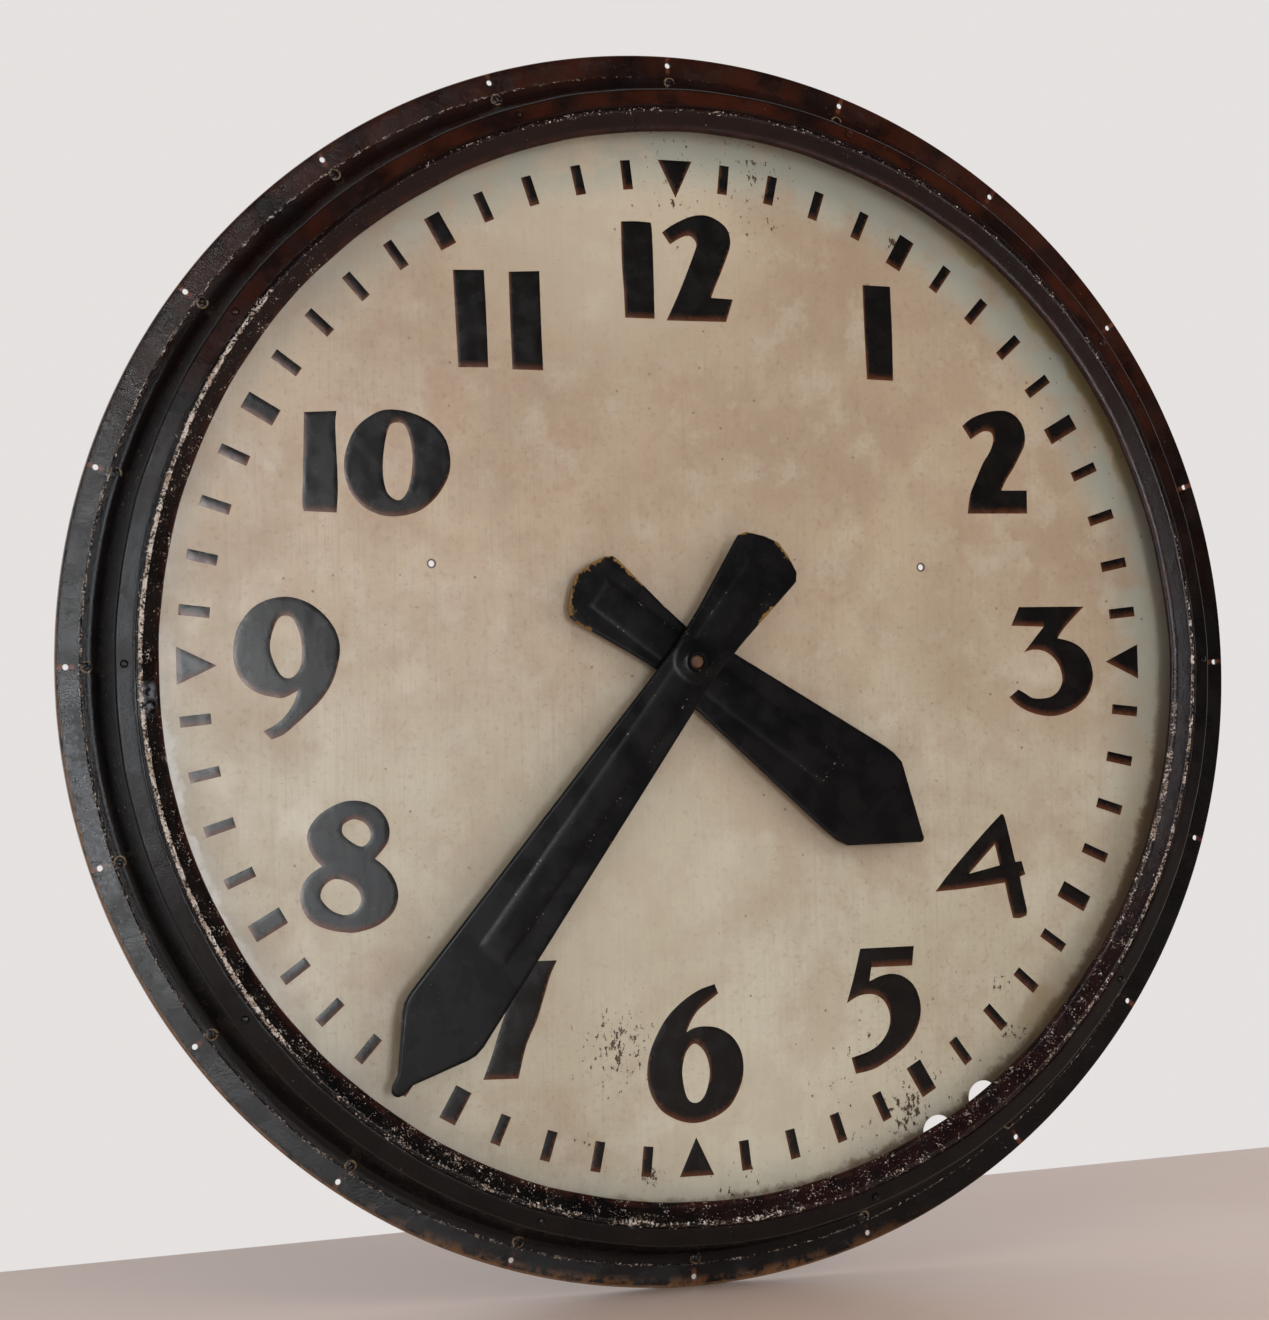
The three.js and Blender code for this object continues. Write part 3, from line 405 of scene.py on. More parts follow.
class Finish:
    """A node material under construction, with short names for the nodes it is made of."""

    def __init__(self, name, **sockets):
        self.material = bpy.data.materials.new(name)
        self.material.use_nodes = True
        self.nodes = self.material.node_tree.nodes
        self.links = self.material.node_tree.links
        self.shader = self.nodes["Principled BSDF"]
        self.object_place = self.nodes.new("ShaderNodeTexCoord").outputs["Object"]
        self.axes = self.node("ShaderNodeSeparateXYZ", Vector=self.object_place).outputs
        self.colour = None
        for socket, value in sockets.items():
            self.feed(self.shader.inputs[socket.replace("_", " ")], value)

    def feed(self, socket, value):
        """Links a node's output to a socket, or sets the socket to a plain value."""
        if isinstance(value, bpy.types.NodeSocket):
            self.links.new(value, socket)
        elif isinstance(value, tuple) and len(value) == 3 and socket.type == "RGBA":
            socket.default_value = (*value, 1)
        else:
            socket.default_value = value

    def node(self, kind, settings=None, **sockets):
        """A new node, with its settings and its sockets filled in."""
        made = self.nodes.new(kind)
        for name, value in (settings or {}).items():
            setattr(made, name, value)
        for socket, value in sockets.items():
            self.feed(made.inputs[socket.replace("_", " ")], value)
        return made

    def maths(self, operation, first, second=0.0):
        """A Math node's answer."""
        made = self.node("ShaderNodeMath", {"operation": operation})
        self.feed(made.inputs[0], first)
        self.feed(made.inputs[1], second)
        return made.outputs[0]

    def plus(self, first, second):
        """The sum of two numbers."""
        return self.maths("ADD", first, second)

    def minus(self, first, second):
        """The first number less the second."""
        return self.maths("SUBTRACT", first, second)

    def length(self, across, up):
        """How long a step of across and up is."""
        return self.maths("SQRT", self.plus(self.times(across, across), self.times(up, up)))

    def times(self, *values):
        """The product of numbers."""
        product = values[0]
        for value in values[1:]:
            product = self.maths("MULTIPLY", product, value)
        return product

    def most(self, *values):
        """The largest of numbers."""
        largest = values[0]
        for value in values[1:]:
            largest = self.maths("MAXIMUM", largest, value)
        return largest

    def fade(self, value, start, end, low=0.0, high=1.0):
        """low at start and high at end, smooth between them."""
        made = self.node(
            "ShaderNodeMapRange", {"interpolation_type": "SMOOTHSTEP"},
            Value=value, From_Min=start, From_Max=end, To_Min=low, To_Max=high,
        )
        return made.outputs[0]

    def between(self, value, start, end, soft):
        """1 from start to end and 0 a little outside them."""
        return self.times(
            self.fade(value, start - soft, start + soft), self.fade(value, end + soft, end - soft)
        )

    def blend(self, share, first, second):
        """first where share is 0, and second where it is 1."""
        made = self.node("ShaderNodeMix", {"data_type": "RGBA"})
        self.feed(made.inputs["Factor"], share)
        self.feed(made.inputs[6], first)
        self.feed(made.inputs[7], second)
        return made.outputs[2]

    def base(self, share, first, second):
        """Starts the paint's colour as a mix of two."""
        self.colour = self.blend(share, first, second)

    def tint(self, colour, strength, *shares):
        """Lays a colour over the paint so far, as strongly as strength times the shares."""
        self.colour = self.blend(self.times(*shares, strength), self.colour, colour)

    def noise(self, scale, detail=3.0, rough=0.55, stretch=(1, 1, 1), shift=0.0, twist=0.0):
        """Fractal noise of about 0.5, with scale in features per metre."""
        moved = self.node(
            "ShaderNodeMapping", Vector=self.object_place, Scale=stretch, Location=(shift, shift, shift)
        )
        made = self.node(
            "ShaderNodeTexNoise", Vector=moved.outputs[0], Scale=scale, Detail=detail, Roughness=rough,
            Distortion=twist,
        )
        return made.outputs["Fac"]

    def cloud(self, limits, *noise, **settings):
        """Noise that fades between limits: (start, end) or (start, end, low, high)."""
        return self.fade(self.noise(*noise, **settings), *limits)

    def cells(self, scale, shift=0.0, feature="F1"):
        """Distance from the nearest of scattered points, or to the nearest cell edge."""
        moved = self.node("ShaderNodeMapping", Vector=self.object_place, Location=(shift, shift, shift))
        made = self.node("ShaderNodeTexVoronoi", {"feature": feature}, Vector=moved.outputs[0], Scale=scale)
        return made.outputs["Distance"]

    def radius(self):
        """Distance from the dial's axis, in millimetres."""
        return self.times(self.length(self.axes["X"], self.axes["Z"]), 1 / MM)

    def depth(self):
        """Distance in front of the wall, in millimetres."""
        return self.times(self.axes["Y"], -1 / MM)

    def sector(self, clock_angle, half_width, soft):
        """1 within half_width degrees of a clock angle and 0 a soft margin beyond it."""
        turn = math.radians(clock_angle)
        eastward = self.times(self.axes["X"], math.sin(turn))
        reach = self.plus(eastward, self.times(self.axes["Z"], math.cos(turn)))
        facing = self.maths("DIVIDE", self.times(reach, 1 / MM), self.radius())
        outer = math.cos(math.radians(min(180, half_width + soft)))
        inner = math.cos(math.radians(max(0, half_width - soft)))
        return self.fade(facing, outer, inner)

    def near(self, x, z, reach, soft):
        """1 within reach millimetres of a spot on the dial and 0 a soft margin beyond it."""
        across = self.minus(self.axes["X"], x * MM)
        up = self.minus(self.axes["Z"], z * MM)
        return self.fade(self.times(self.length(across, up), 1 / MM), reach + soft, reach - soft)

    def spots(self, *places):
        """The most of several spots on the dial, each (x, z, reach, soft margin, amount)."""
        return self.most(*(
            self.times(self.near(x, z, reach, soft), amount) for x, z, reach, soft, amount in places
        ))

    def arcs(self, *places):
        """The most of several arcs, each (radii, soft margin, clock angle, half width, soft, amount)."""
        radius = self.radius()
        return self.most(*(
            self.times(self.between(radius, *radii, margin), self.sector(angle, half, soft), amount)
            for radii, margin, angle, half, soft, amount in places
        ))

    def stored(self, name):
        """A number kept on the mesh's corners."""
        return self.node("ShaderNodeAttribute", {"attribute_name": name}).outputs["Fac"]

    def relief(self, *layers):
        """Raises the surface by layers of (height, millimetres)."""
        total = None
        for height, millimetres in layers:
            layer = self.times(height, millimetres)
            total = layer if total is None else self.plus(total, layer)
        bump = self.node("ShaderNodeBump", Height=total, Distance=MM, Strength=1.0)
        self.feed(self.shader.inputs["Normal"], bump.outputs["Normal"])

    def done(self, roughness):
        """Sets the colour and roughness and returns the material."""
        self.feed(self.shader.inputs["Base Color"], self.colour)
        self.feed(self.shader.inputs["Roughness"], roughness)
        return self.material


# ---------------------------------------------------------------- materials


def rim_chips(paint, radius, depth, lip):
    """How far the rim's noise is past the level at which its paint is chipped off."""
    scatter = paint.plus(
        paint.times(paint.noise(540, 5, 0.72, shift=7), 0.7),
        paint.times(paint.noise(95, 3, 0.6, shift=63), 0.3),
    )
    on_lip = paint.times(lip, paint.arcs(*LIP_CHIPS))
    seam = paint.times(
        paint.between(radius, 480.4, 483.2, 0.7),
        paint.fade(depth, 13, 11),
        paint.most(
            paint.times(paint.sector(300, 55, 20), 0.13),
            paint.times(paint.sector(195, 75, 20), 0.11),
            0.05,
        ),
    )
    wall = paint.times(
        paint.between(depth, 22, 46, 6),
        paint.fade(radius, 461, 462.4),
        paint.sector(262, 36, 10),
        0.036,
    )
    limit = paint.minus(0.66, paint.most(on_lip, seam, wall))
    return paint.minus(scatter, limit)


def rim_holes(paint, radius, depth):
    """Rust that runs from each fixing hole, and a bright worn ring round each seam head."""
    turn = paint.maths("ARCTAN2", paint.axes["X"], paint.axes["Z"])
    offset = paint.maths("PINGPONG", turn, math.pi / FIXING_HOLES)
    across = paint.times(offset, radius)
    streak = paint.times(
        paint.fade(across, 2.6, 1.0),
        paint.between(radius, 486, 499.6, 2),
        paint.fade(depth, 12, 10),
        paint.cloud((0.36, 0.5), 60, 3, shift=5),
    )
    paint.tint((0.15, 0.042, 0.02), 0.85, streak)
    from_head = paint.minus(radius, SEAM_HEAD["pitch_radius"])
    gap = paint.length(across, from_head)
    ring = paint.times(
        paint.between(gap, SEAM_HEAD["radius"] - 0.8, SEAM_HEAD["radius"] + 0.5, 0.45),
        paint.fade(depth, 16, 14),
        paint.cloud((0.43, 0.55), 170, 4, 0.65, shift=19),
    )
    paint.tint((0.27, 0.20, 0.12), 0.85, ring)


def rim_paint():
    """Bitumen-black oil paint on the flange, bezel and inner ring, chipped along every ridge."""
    paint = Finish("rim_paint", Specular_IOR_Level=0.26)
    radius, depth = paint.radius(), paint.depth()
    paint.base(paint.cloud((0.35, 0.7), 22, 4, 0.6), (0.0024, 0.0022, 0.0025), (0.0066, 0.0046, 0.0043))
    # Redder towards the top of the rim, most on the flange and the band.
    warm = paint.times(paint.sector(4, 58, 30), paint.cloud((0.25, 0.5), 9, 3, 0.5, shift=3))
    paint.tint((0.017, 0.005, 0.003), 0.55, warm)
    flat_or_band = paint.most(paint.fade(depth, 12, 9), paint.between(radius, 448, 460, 1.5))
    red = paint.cloud((0.3, 0.6), 34, 4, 0.6, shift=13)
    paint.tint((0.050, 0.0115, 0.0042), 0.8, warm, flat_or_band, red)
    lip = paint.times(paint.fade(depth, 42, 47), paint.fade(radius, 448, 446))
    # Painted sheen: a purplish cast on the right side of the lip.
    paint.tint((0.014, 0.0055, 0.0062), 0.6, paint.sector(95, 75, 30), lip)
    oxide = paint.times(
        lip,
        paint.most(paint.fade(radius, 435, 429), paint.times(paint.sector(140, 42, 14), 0.45)),
        paint.cloud((0.35, 0.6), 60, 3, shift=15),
    )
    paint.tint((0.034, 0.0085, 0.0055), 0.8, oxide)

    past_limit = rim_chips(paint, radius, depth, lip)
    chips = paint.fade(past_limit, 0.0, 0.012)
    halo = paint.times(paint.fade(past_limit, -0.03, 0.0), paint.minus(1.0, chips))
    paint.tint((0.045, 0.014, 0.009), 0.5, halo)
    bare = paint.blend(paint.cloud((0.42, 0.6), 240, 2, shift=2), (0.66, 0.60, 0.53), (0.40, 0.31, 0.235))
    paint.tint(bare, 1.0, chips)
    rim_holes(paint, radius, depth)

    low_rust = paint.times(
        paint.sector(185, 22, 10),
        paint.fade(radius, 489, 498),
        paint.cloud((0.42, 0.6), 75, 5, 0.7, shift=23),
    )
    paint.tint((0.20, 0.085, 0.03), 0.85, low_rust)
    edge_wear = paint.most(
        paint.times(paint.sector(215, 52, 12), paint.fade(radius, 497.2, 499.0)),
        paint.times(paint.sector(290, 50, 20), paint.fade(radius, 499.2, 499.8), 0.7),
    )
    paint.tint((0.19, 0.095, 0.042), 1.0, edge_wear, paint.cloud((0.32, 0.5), 70, 4, 0.6, shift=9))
    # Partly painted highlight: a blue-grey glare patch on the flange near 257 degrees; partly real, silvery
    # scouring in the dent of the inner roll.
    flange_glare_and_dent_scour = paint.most(
        paint.times(paint.between(radius, 484, 497, 2), paint.sector(257, 6, 3)),
        paint.times(
            paint.between(radius, 432, 444, 2),
            paint.fade(depth, 42, 46),
            paint.sector(DENT["angle"], 1.3, 0.7),
        ),
    )
    glare_and_scour_frost = paint.times(flange_glare_and_dent_scour, paint.cloud((0.4, 0.62), 150, 4, 0.65, shift=29))
    paint.tint((0.30, 0.33, 0.37), 0.5, glare_and_scour_frost)

    crackle = paint.cells(420, feature="DISTANCE_TO_EDGE")
    paint.relief(
        (paint.noise(60, 3, 0.6, shift=11), 0.4),
        (paint.noise(540, 5, 0.72, shift=7), 0.12),
        (paint.fade(crackle, 0.0, 0.12), 0.03),
        (chips, -0.16),
    )
    gloss = paint.cloud((0.3, 0.7, 0.17, 0.34), 34, 3, shift=4)
    return paint.done(paint.most(gloss, paint.times(paint.most(chips, glare_and_scour_frost), 0.6)))


def rim_back():
    """Thin old black paint over rusting sheet, behind the flange and bezel."""
    paint = Finish("rim_back")
    rust = paint.cloud((0.48, 0.68), 30, 5, 0.65)
    paint.base(paint.cloud((0.3, 0.7), 12, 3), (0.022, 0.019, 0.018), (0.05, 0.042, 0.038))
    paint.tint((0.15, 0.058, 0.026), 1.0, rust)
    paint.relief((paint.noise(160, 5, 0.6), 0.4), (rust, 0.1))
    return paint.done(paint.fade(rust, 0, 1, 0.5, 0.85))


def dial_ageing(paint):
    """The dial's broad colours: warm above, pale below, clouded, mottled and streaked."""
    drift = paint.cloud((0.38, 0.62), 3.4, 4, 0.55)
    upper = paint.blend(drift, (0.545, 0.435, 0.305), (0.435, 0.33, 0.225))
    lower = paint.blend(drift, (0.615, 0.58, 0.45), (0.51, 0.455, 0.33))
    paint.base(paint.fade(paint.axes["Z"], 0.12, -0.16), upper, lower)
    paint.tint((0.40, 0.29, 0.195), 0.5, paint.cloud((0.40, 0.64), 17, 5, 0.65, shift=1))
    paint.tint((0.62, 0.575, 0.465), 0.40, paint.cloud((0.50, 0.70), 31, 5, 0.62, shift=41))
    paint.tint(
        (0.42, 0.265, 0.175), 0.5,
        paint.cloud((0.47, 0.66), 26, 5, 0.66, shift=33),
        paint.spots(*DIAL_BLUSH),
    )
    paint.tint((0.31, 0.205, 0.125), 0.42, paint.cloud((0.52, 0.72), 190, 5, 0.7, shift=6))
    drawn = paint.cloud((0.44, 0.72), 60, 4, 0.65, stretch=(5, 1, 0.16), shift=8)
    crossed = paint.cloud((0.50, 0.74), 60, 4, 0.65, stretch=(0.16, 1, 5), shift=18)
    streaks = paint.most(drawn, paint.times(crossed, 0.6))
    paint.tint((0.36, 0.29, 0.205), 0.22, streaks)
    # Paler in a few patches.
    paint.tint((0.66, 0.61, 0.465), 0.45, paint.spots(*DIAL_PALE_PATCHES))
    return streaks


def dial_edge(paint):
    """Dirt and stains near the lip, painted shade under the lip and below the hands' boss, and a whitish
    patch near eight o'clock.
    """
    radius = paint.radius()
    # Painted shadow: a green-grey band near the lip at the upper right, where the lip shades the dial.
    lip_shadow_cloud = paint.cloud((0.36, 0.56), 24, 5, 0.66, shift=2)
    paint.tint((0.40, 0.445, 0.375), 0.85, paint.fade(radius, 372, 418), paint.sector(30, 66, 30), lip_shadow_cloud)
    # Painted shade: greyer towards the lip all round.
    paint.tint(
        (0.42, 0.405, 0.335), 0.5,
        paint.fade(radius, 396, 432),
        paint.cloud((0.3, 0.6), 34, 4, 0.6, shift=51),
    )
    uneven = paint.plus(radius, paint.times(paint.noise(36, 4, 0.6, shift=3), 34.0))
    paint.tint((0.33, 0.27, 0.115), 0.8, paint.fade(uneven, 443, 449), paint.sector(52, 17, 5))
    paint.tint((0.32, 0.235, 0.13), 0.42, paint.sector(124, 19, 9), paint.fade(uneven, 418, 446))
    ragged = paint.plus(radius, paint.times(paint.noise(85, 5, 0.7, shift=57), 30.0))
    paint.tint((0.15, 0.085, 0.04), 0.75, paint.sector(142, 46, 14), paint.fade(ragged, 441, 450))
    paint.tint((0.30, 0.215, 0.10), 0.45, paint.sector(133.5, 2.6, 1.1), paint.between(uneven, 430, 462, 4))
    # A whitish patch near the lip at about eight o'clock.
    paint.tint(
        (0.70, 0.685, 0.65), 0.75,
        paint.between(uneven, 437, 452, 3),
        paint.sector(252, 13, 6),
        paint.cloud((0.2, 0.4), 30, 3, shift=4),
    )
    # Painted shade on the dial just below the hands' boss.
    boss_shade_cloud = paint.cloud((0.35, 0.65), 18, 4, shift=14)
    paint.tint((0.30, 0.27, 0.21), 0.35, paint.near(6, -40, 36, 70), boss_shade_cloud)


def dial_paint():
    """Aged cream paint: mottled, streaked, stained at the rim and flaked in a few places."""
    paint = Finish("dial_paint", Specular_IOR_Level=0.4, Coat_Weight=0.1, Coat_Roughness=0.2)
    streaks = dial_ageing(paint)
    dial_edge(paint)
    flake_limit = paint.minus(0.74, paint.times(paint.spots(*DIAL_FLAKES), 0.20))
    scatter = paint.noise(240, 4, 0.7, stretch=(1, 1, 0.62), shift=21)
    flakes = paint.fade(paint.minus(scatter, flake_limit), 0.0, 0.02)
    paint.tint((0.075, 0.04, 0.02), 1.0, flakes)
    burr = SMALL_HOLE["radius"] + 1.3
    hole_rings = paint.spots(*(
        (side * SMALL_HOLE["x"], SMALL_HOLE["z"], burr, 0.6, 1) for side in (-1, 1)
    ))
    paint.tint((0.04, 0.028, 0.022), 0.9, hole_rings)
    large = paint.times(
        paint.fade(paint.cells(62, shift=5), 0.085, 0.055),
        paint.cloud((0.47, 0.58), 11, 2, shift=31),
    )
    small = paint.times(
        paint.fade(paint.cells(150, shift=15), 0.10, 0.06),
        paint.cloud((0.52, 0.62), 23, 3, shift=35),
        0.8,
    )
    paint.tint((0.17, 0.10, 0.055), 0.7, paint.most(large, small))
    paint.relief(
        (paint.noise(5, 2, 0.4, shift=17), 2.2),
        (paint.noise(150, 3, 0.6), 0.10),
        (streaks, 0.05),
        (flakes, -0.12),
    )
    return paint.done(paint.cloud((0.3, 0.7, 0.32, 0.50), 26, 4, shift=10))


def dial_back():
    """Grey primer behind the dial, spotted with rust."""
    paint = Finish("dial_back")
    rust = paint.cloud((0.56, 0.72), 26, 5, 0.7, shift=4)
    paint.base(paint.cloud((0.3, 0.7), 7, 3), (0.23, 0.235, 0.23), (0.17, 0.165, 0.155))
    paint.tint((0.17, 0.07, 0.032), 1.0, rust)
    paint.relief((paint.noise(120, 4, 0.6), 0.12))
    return paint.done(paint.fade(rust, 0, 1, 0.55, 0.85))


def numeral_paint():
    """Black signwriter's enamel, brushed on, with painted brown shade along its lower edges."""
    paint = Finish("numeral_paint", Specular_IOR_Level=0.26)
    paint.base(paint.cloud((0.3, 0.7), 70, 3), (0.0050, 0.0044, 0.0042), (0.0088, 0.0070, 0.0063))
    # Painted shade: brown along the numerals' lower edges.
    paint.tint((0.13, 0.042, 0.016), 1.0, paint.stored("lower_edge_shade"), paint.cloud((0.1, 0.5), 120, 2, shift=3))
    paint.tint((0.30, 0.25, 0.18), 0.6, paint.cloud((0.735, 0.76), 330, 4, 0.7, shift=9))
    paint.relief(
        (paint.noise(90, 3, 0.5, stretch=(1, 1, 0.3)), 0.10),
        (paint.noise(5, 2, 0.4, shift=17), 2.2),
    )
    return paint.done(paint.cloud((0.3, 0.7, 0.20, 0.31), 60, 3, shift=5))


def hand_paint():
    """Satin black on the pressed hands, worn to ochre primer in patches and specked white."""
    paint = Finish("hand_paint", Specular_IOR_Level=0.12)
    cloud = paint.cloud((0.3, 0.7), 28, 4)
    paint.base(cloud, (0.0042, 0.0042, 0.0048), (0.0085, 0.0075, 0.0075))
    edge, ridge, tail = paint.stored("edge"), paint.stored("ridge"), paint.stored("tail")
    patch = paint.cloud((0.48, 0.58), 19, 2, 0.4, shift=46)
    wear = paint.plus(paint.times(tail, edge, patch, 0.27), paint.times(edge, patch, 0.08))
    limit = paint.minus(0.70, wear)
    scatter = paint.noise(150, 5, 0.72, shift=2)
    primer = paint.fade(paint.minus(scatter, limit), 0.0, 0.03)
    paint.tint((0.22, 0.125, 0.038), 1.0, primer)
    dusty = paint.times(ridge, paint.cloud((0.40, 0.62), 38, 3, shift=27))
    dust_limit = paint.minus(0.72, paint.times(dusty, 0.135))
    dust = paint.minus(paint.noise(430, 4, 0.7, shift=12), dust_limit)
    paint.tint((0.42, 0.38, 0.32), 0.8, paint.fade(dust, 0.0, 0.015))
    paint.relief((paint.noise(160, 4, 0.6), 0.08), (paint.noise(24, 3, shift=6), 0.25), (primer, -0.08))
    return paint.done(paint.most(paint.fade(cloud, 0, 1, 0.22, 0.31), paint.times(primer, 0.7)))


def bare_metal(name, colour, darker, roughness, rust=0.0, metallic=1.0):
    """Metal with fine wear, stains and a share of rust."""
    metal = Finish(name, Metallic=metallic)
    stain = metal.cloud((0.38, 0.68), 60, 4, 0.6)
    metal.base(stain, colour, darker)
    corroded = metal.cloud((0.72 - 0.3 * rust, 0.78 - 0.22 * rust), 150, 5, 0.7, shift=8)
    metal.tint((0.14, 0.052, 0.024), 1.0, corroded)
    metal.relief((metal.noise(700, 3, 0.6), 0.02), (metal.noise(90, 3), 0.05), (corroded, 0.05))
    spread = metal.fade(stain, 0, 1, roughness, roughness + 0.14)
    return metal.done(metal.most(spread, metal.times(corroded, 0.85)))


def coil_tape():
    """Varnished cotton tape wound round the coils."""
    tape = Finish("coil_tape", Coat_Weight=0.35, Coat_Roughness=0.3)
    turns = tape.maths("SINE", tape.times(tape.axes["X"], 2 * math.pi / 0.0042))
    weave = tape.maths("SINE", tape.times(tape.axes["Z"], 2 * math.pi / 0.0007))
    tape.base(tape.fade(turns, -1, 1), (0.085, 0.022, 0.012), (0.19, 0.055, 0.028))
    tape.tint((0.10, 0.065, 0.045), 1.0, tape.cloud((0.5, 0.75), 150, 4))
    tape.relief((turns, 0.16), (weave, 0.03), (tape.noise(500, 3), 0.05))
    return tape.done(0.5)


def bakelite():
    """Brown phenolic moulding, dulled with age."""
    plastic = Finish("bakelite", Coat_Weight=0.15, Coat_Roughness=0.25)
    swirl = plastic.cloud((0.35, 0.7), 45, 4, 0.6, twist=1.5)
    plastic.base(swirl, (0.028, 0.011, 0.006), (0.062, 0.024, 0.012))
    plastic.relief((plastic.noise(400, 3), 0.03))
    return plastic.done(plastic.fade(swirl, 0, 1, 0.32, 0.46))


def floor_finish():
    """Pale, faintly marked floor."""
    floor = Finish("floor_finish")
    floor.base(floor.cloud((0.3, 0.7), 1.6, 4, 0.55), (0.74, 0.56, 0.465), (0.80, 0.63, 0.54))
    floor.relief((floor.noise(30, 3), 0.2))
    return floor.done(0.38)


# ---------------------------------------------------------------- the case


def waves(parts, turn):
    """The sum of sine waves, each (height, waves round the ring, phase)."""
    return sum(height * math.sin(count * turn + phase) for height, count, phase in parts)


def waviness(radius, depth, angle):
    """Hand-formed sheet: slow swells round the ring and a dent in the inner roll near nine."""
    turn = math.radians(angle)
    lift = max(0.0, min(1.0, (depth - 8) / 30))
    radius += lift * waves(RADIAL_WAVES, turn)
    depth -= lift * (0.3 + waves(DEPTH_WAVES, turn))
    from_dent = (angle - DENT["angle"] + 180) % 360 - 180
    along = math.exp(-((from_dent / DENT["half_angle"]) ** 2))
    across = math.exp(-(((radius - DENT["radius"]) / DENT["half_width"]) ** 2))
    if depth > LIP_BACK_DEPTH:
        radius -= DENT["inward"] * along * across
        depth -= DENT["depth"] * along * across
    return radius, depth


def fixing_angles():
    """Clock angles of the fixing holes and of the seam heads beside them."""
    return [360 / FIXING_HOLES * i for i in range(FIXING_HOLES)]


def flange(paint, back):
    """The flange ring with its fixing holes."""
    mesh = turned("flange_skin", FLANGE_FRONT, FLANGE_BACK, segments=720, spacing=4)
    holes = [(place(FIXING_PITCH_RADIUS, angle, 6.75), FIXING_HOLE_RADIUS, 4) for angle in fixing_angles()]
    mesh = drilled(mesh, holes)
    piece = finished("flange_skin", mesh, [paint, back], "case")
    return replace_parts(piece, "flange_ring")


def bezel(paint, back):
    """The stepped bezel, slightly uneven as it was formed by hand."""
    mesh = turned("bezel_skin", BEZEL_FRONT, BEZEL_BACK, segments=900, spacing=1.1, shape=waviness)
    piece = finished("bezel_skin", mesh, [paint, back], "case")
    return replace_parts(piece, "bezel_ring")


def inner_ring(paint, back):
    """The ring that hangs the dial, notched round the cable holes."""
    mesh = turned("dial_surround", DIAL_RING_FRONT, DIAL_RING_BACK, segments=720, spacing=2)
    notch = CABLE_HOLE["radius"] + 1
    cuts = [
        (place(CABLE_HOLE["pitch_radius"], angle, 21), notch, 2) for angle in CABLE_HOLE["angles"]
    ]
    mesh = drilled(mesh, cuts)
    piece = finished("dial_surround", mesh, [paint, back], "case")
    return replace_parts(piece, "dial_ring")


def slotted_head(head_radius, rise, slot_turn):
    """Corners and faces of a domed, slotted screw head, in millimetres, its axis along +Z."""
    rings, segments = 7, 28
    slot_width, slot_share = 0.6, 0.55
    corners, faces = [(0, 0, rise)], []
    for ring in range(1, rings + 1):
        share = ring / rings
        radius = head_radius * math.sin(share * math.pi / 2)
        height = rise * math.cos(share * math.pi / 2)
        for step in range(segments):
            turn = 2 * math.pi * step / segments
            corners.append((radius * math.cos(turn), radius * math.sin(turn), height))
    for step in range(segments):
        faces.append((0, 1 + step, 1 + (step + 1) % segments))
        for ring in range(rings - 1):
            a = 1 + ring * segments + step
            b = 1 + ring * segments + (step + 1) % segments
            faces.append((a, a + segments, b + segments, b))
    faces.append(tuple(1 + (rings - 1) * segments + step for step in reversed(range(segments))))
    sunk = []
    for x, y, z in corners:
        across = abs(-x * math.sin(slot_turn) + y * math.cos(slot_turn))
        slot = slot_share * rise * max(0.0, 1 - (across / slot_width) ** 4) * (z > 0.01)
        sunk.append((x, y, z - slot))
    return sunk, faces


def seam_screws(paint):
    """Twenty small domed screws through the bezel's foot, beside the fixing holes."""
    corners, faces = [], []
    for index, angle in enumerate(fixing_angles()):
        head, head_faces = slotted_head(SEAM_HEAD["radius"], SEAM_HEAD["rise"], slot_turn=index * 1.1)
        centre = place(SEAM_HEAD["pitch_radius"], angle, SEAM_HEAD["depth"])
        first = len(corners)
        corners += [centre + Vector((x, -z, y)) * MM for x, y, z in head]
        faces += [tuple(first + i for i in face) for face in head_faces]
    mesh = mesh_of("seam_screws", corners, faces, ROUND_CREASE)
    return finished("seam_screws", mesh, [paint], "case")


def dial_sheet(face_paint, back_paint):
    """The dial's sheet with its centre, sighting and cable holes."""
    edge = DIAL_RADIUS
    front, back = DIAL_FACE_DEPTH, DIAL_FACE_DEPTH - DIAL_SHEET
    rings = [
        (0.01, front), (60, front), (150, front), (250, front), (350, front), (edge - 0.4, front),
        (edge, front - 0.3), (edge, back + 0.3), (edge - 0.4, back), (300, back), (150, back), (0.01, back),
    ]
    segments, corners, faces = 360, [], []
    for step in range(segments):
        corners += [place(radius, 360 * step / segments, depth) for radius, depth in rings]
    count = len(rings)
    for step in range(segments):
        here, there = step * count, (step + 1) % segments * count
        faces += [(here + i, here + i + 1, there + i + 1, there + i) for i in range(count - 1)]
    mesh = mesh_of("dial_sheet", corners, faces)
    for polygon in mesh.polygons:
        polygon.material_index = int(polygon.normal.y > 0.5)
    middle = DIAL_FACE_DEPTH - DIAL_SHEET / 2
    holes = [(place(0, 0, middle), CENTRE_HOLE_RADIUS, 3)]
    for side in (-1, 1):
        centre = Vector((side * SMALL_HOLE["x"], -middle, SMALL_HOLE["z"])) * MM
        holes.append((centre, SMALL_HOLE["radius"], 3))
    for angle in CABLE_HOLE["angles"]:
        holes.append((place(CABLE_HOLE["pitch_radius"], angle, middle), CABLE_HOLE["radius"], 3))
    mesh = drilled(mesh, holes)
    shade(mesh, SHEET_CREASE)
    piece = finished("dial_sheet", mesh, [face_paint, back_paint], "case")
    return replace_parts(piece, "dial_plate")


# ---------------------------------------------------------------- painted markings


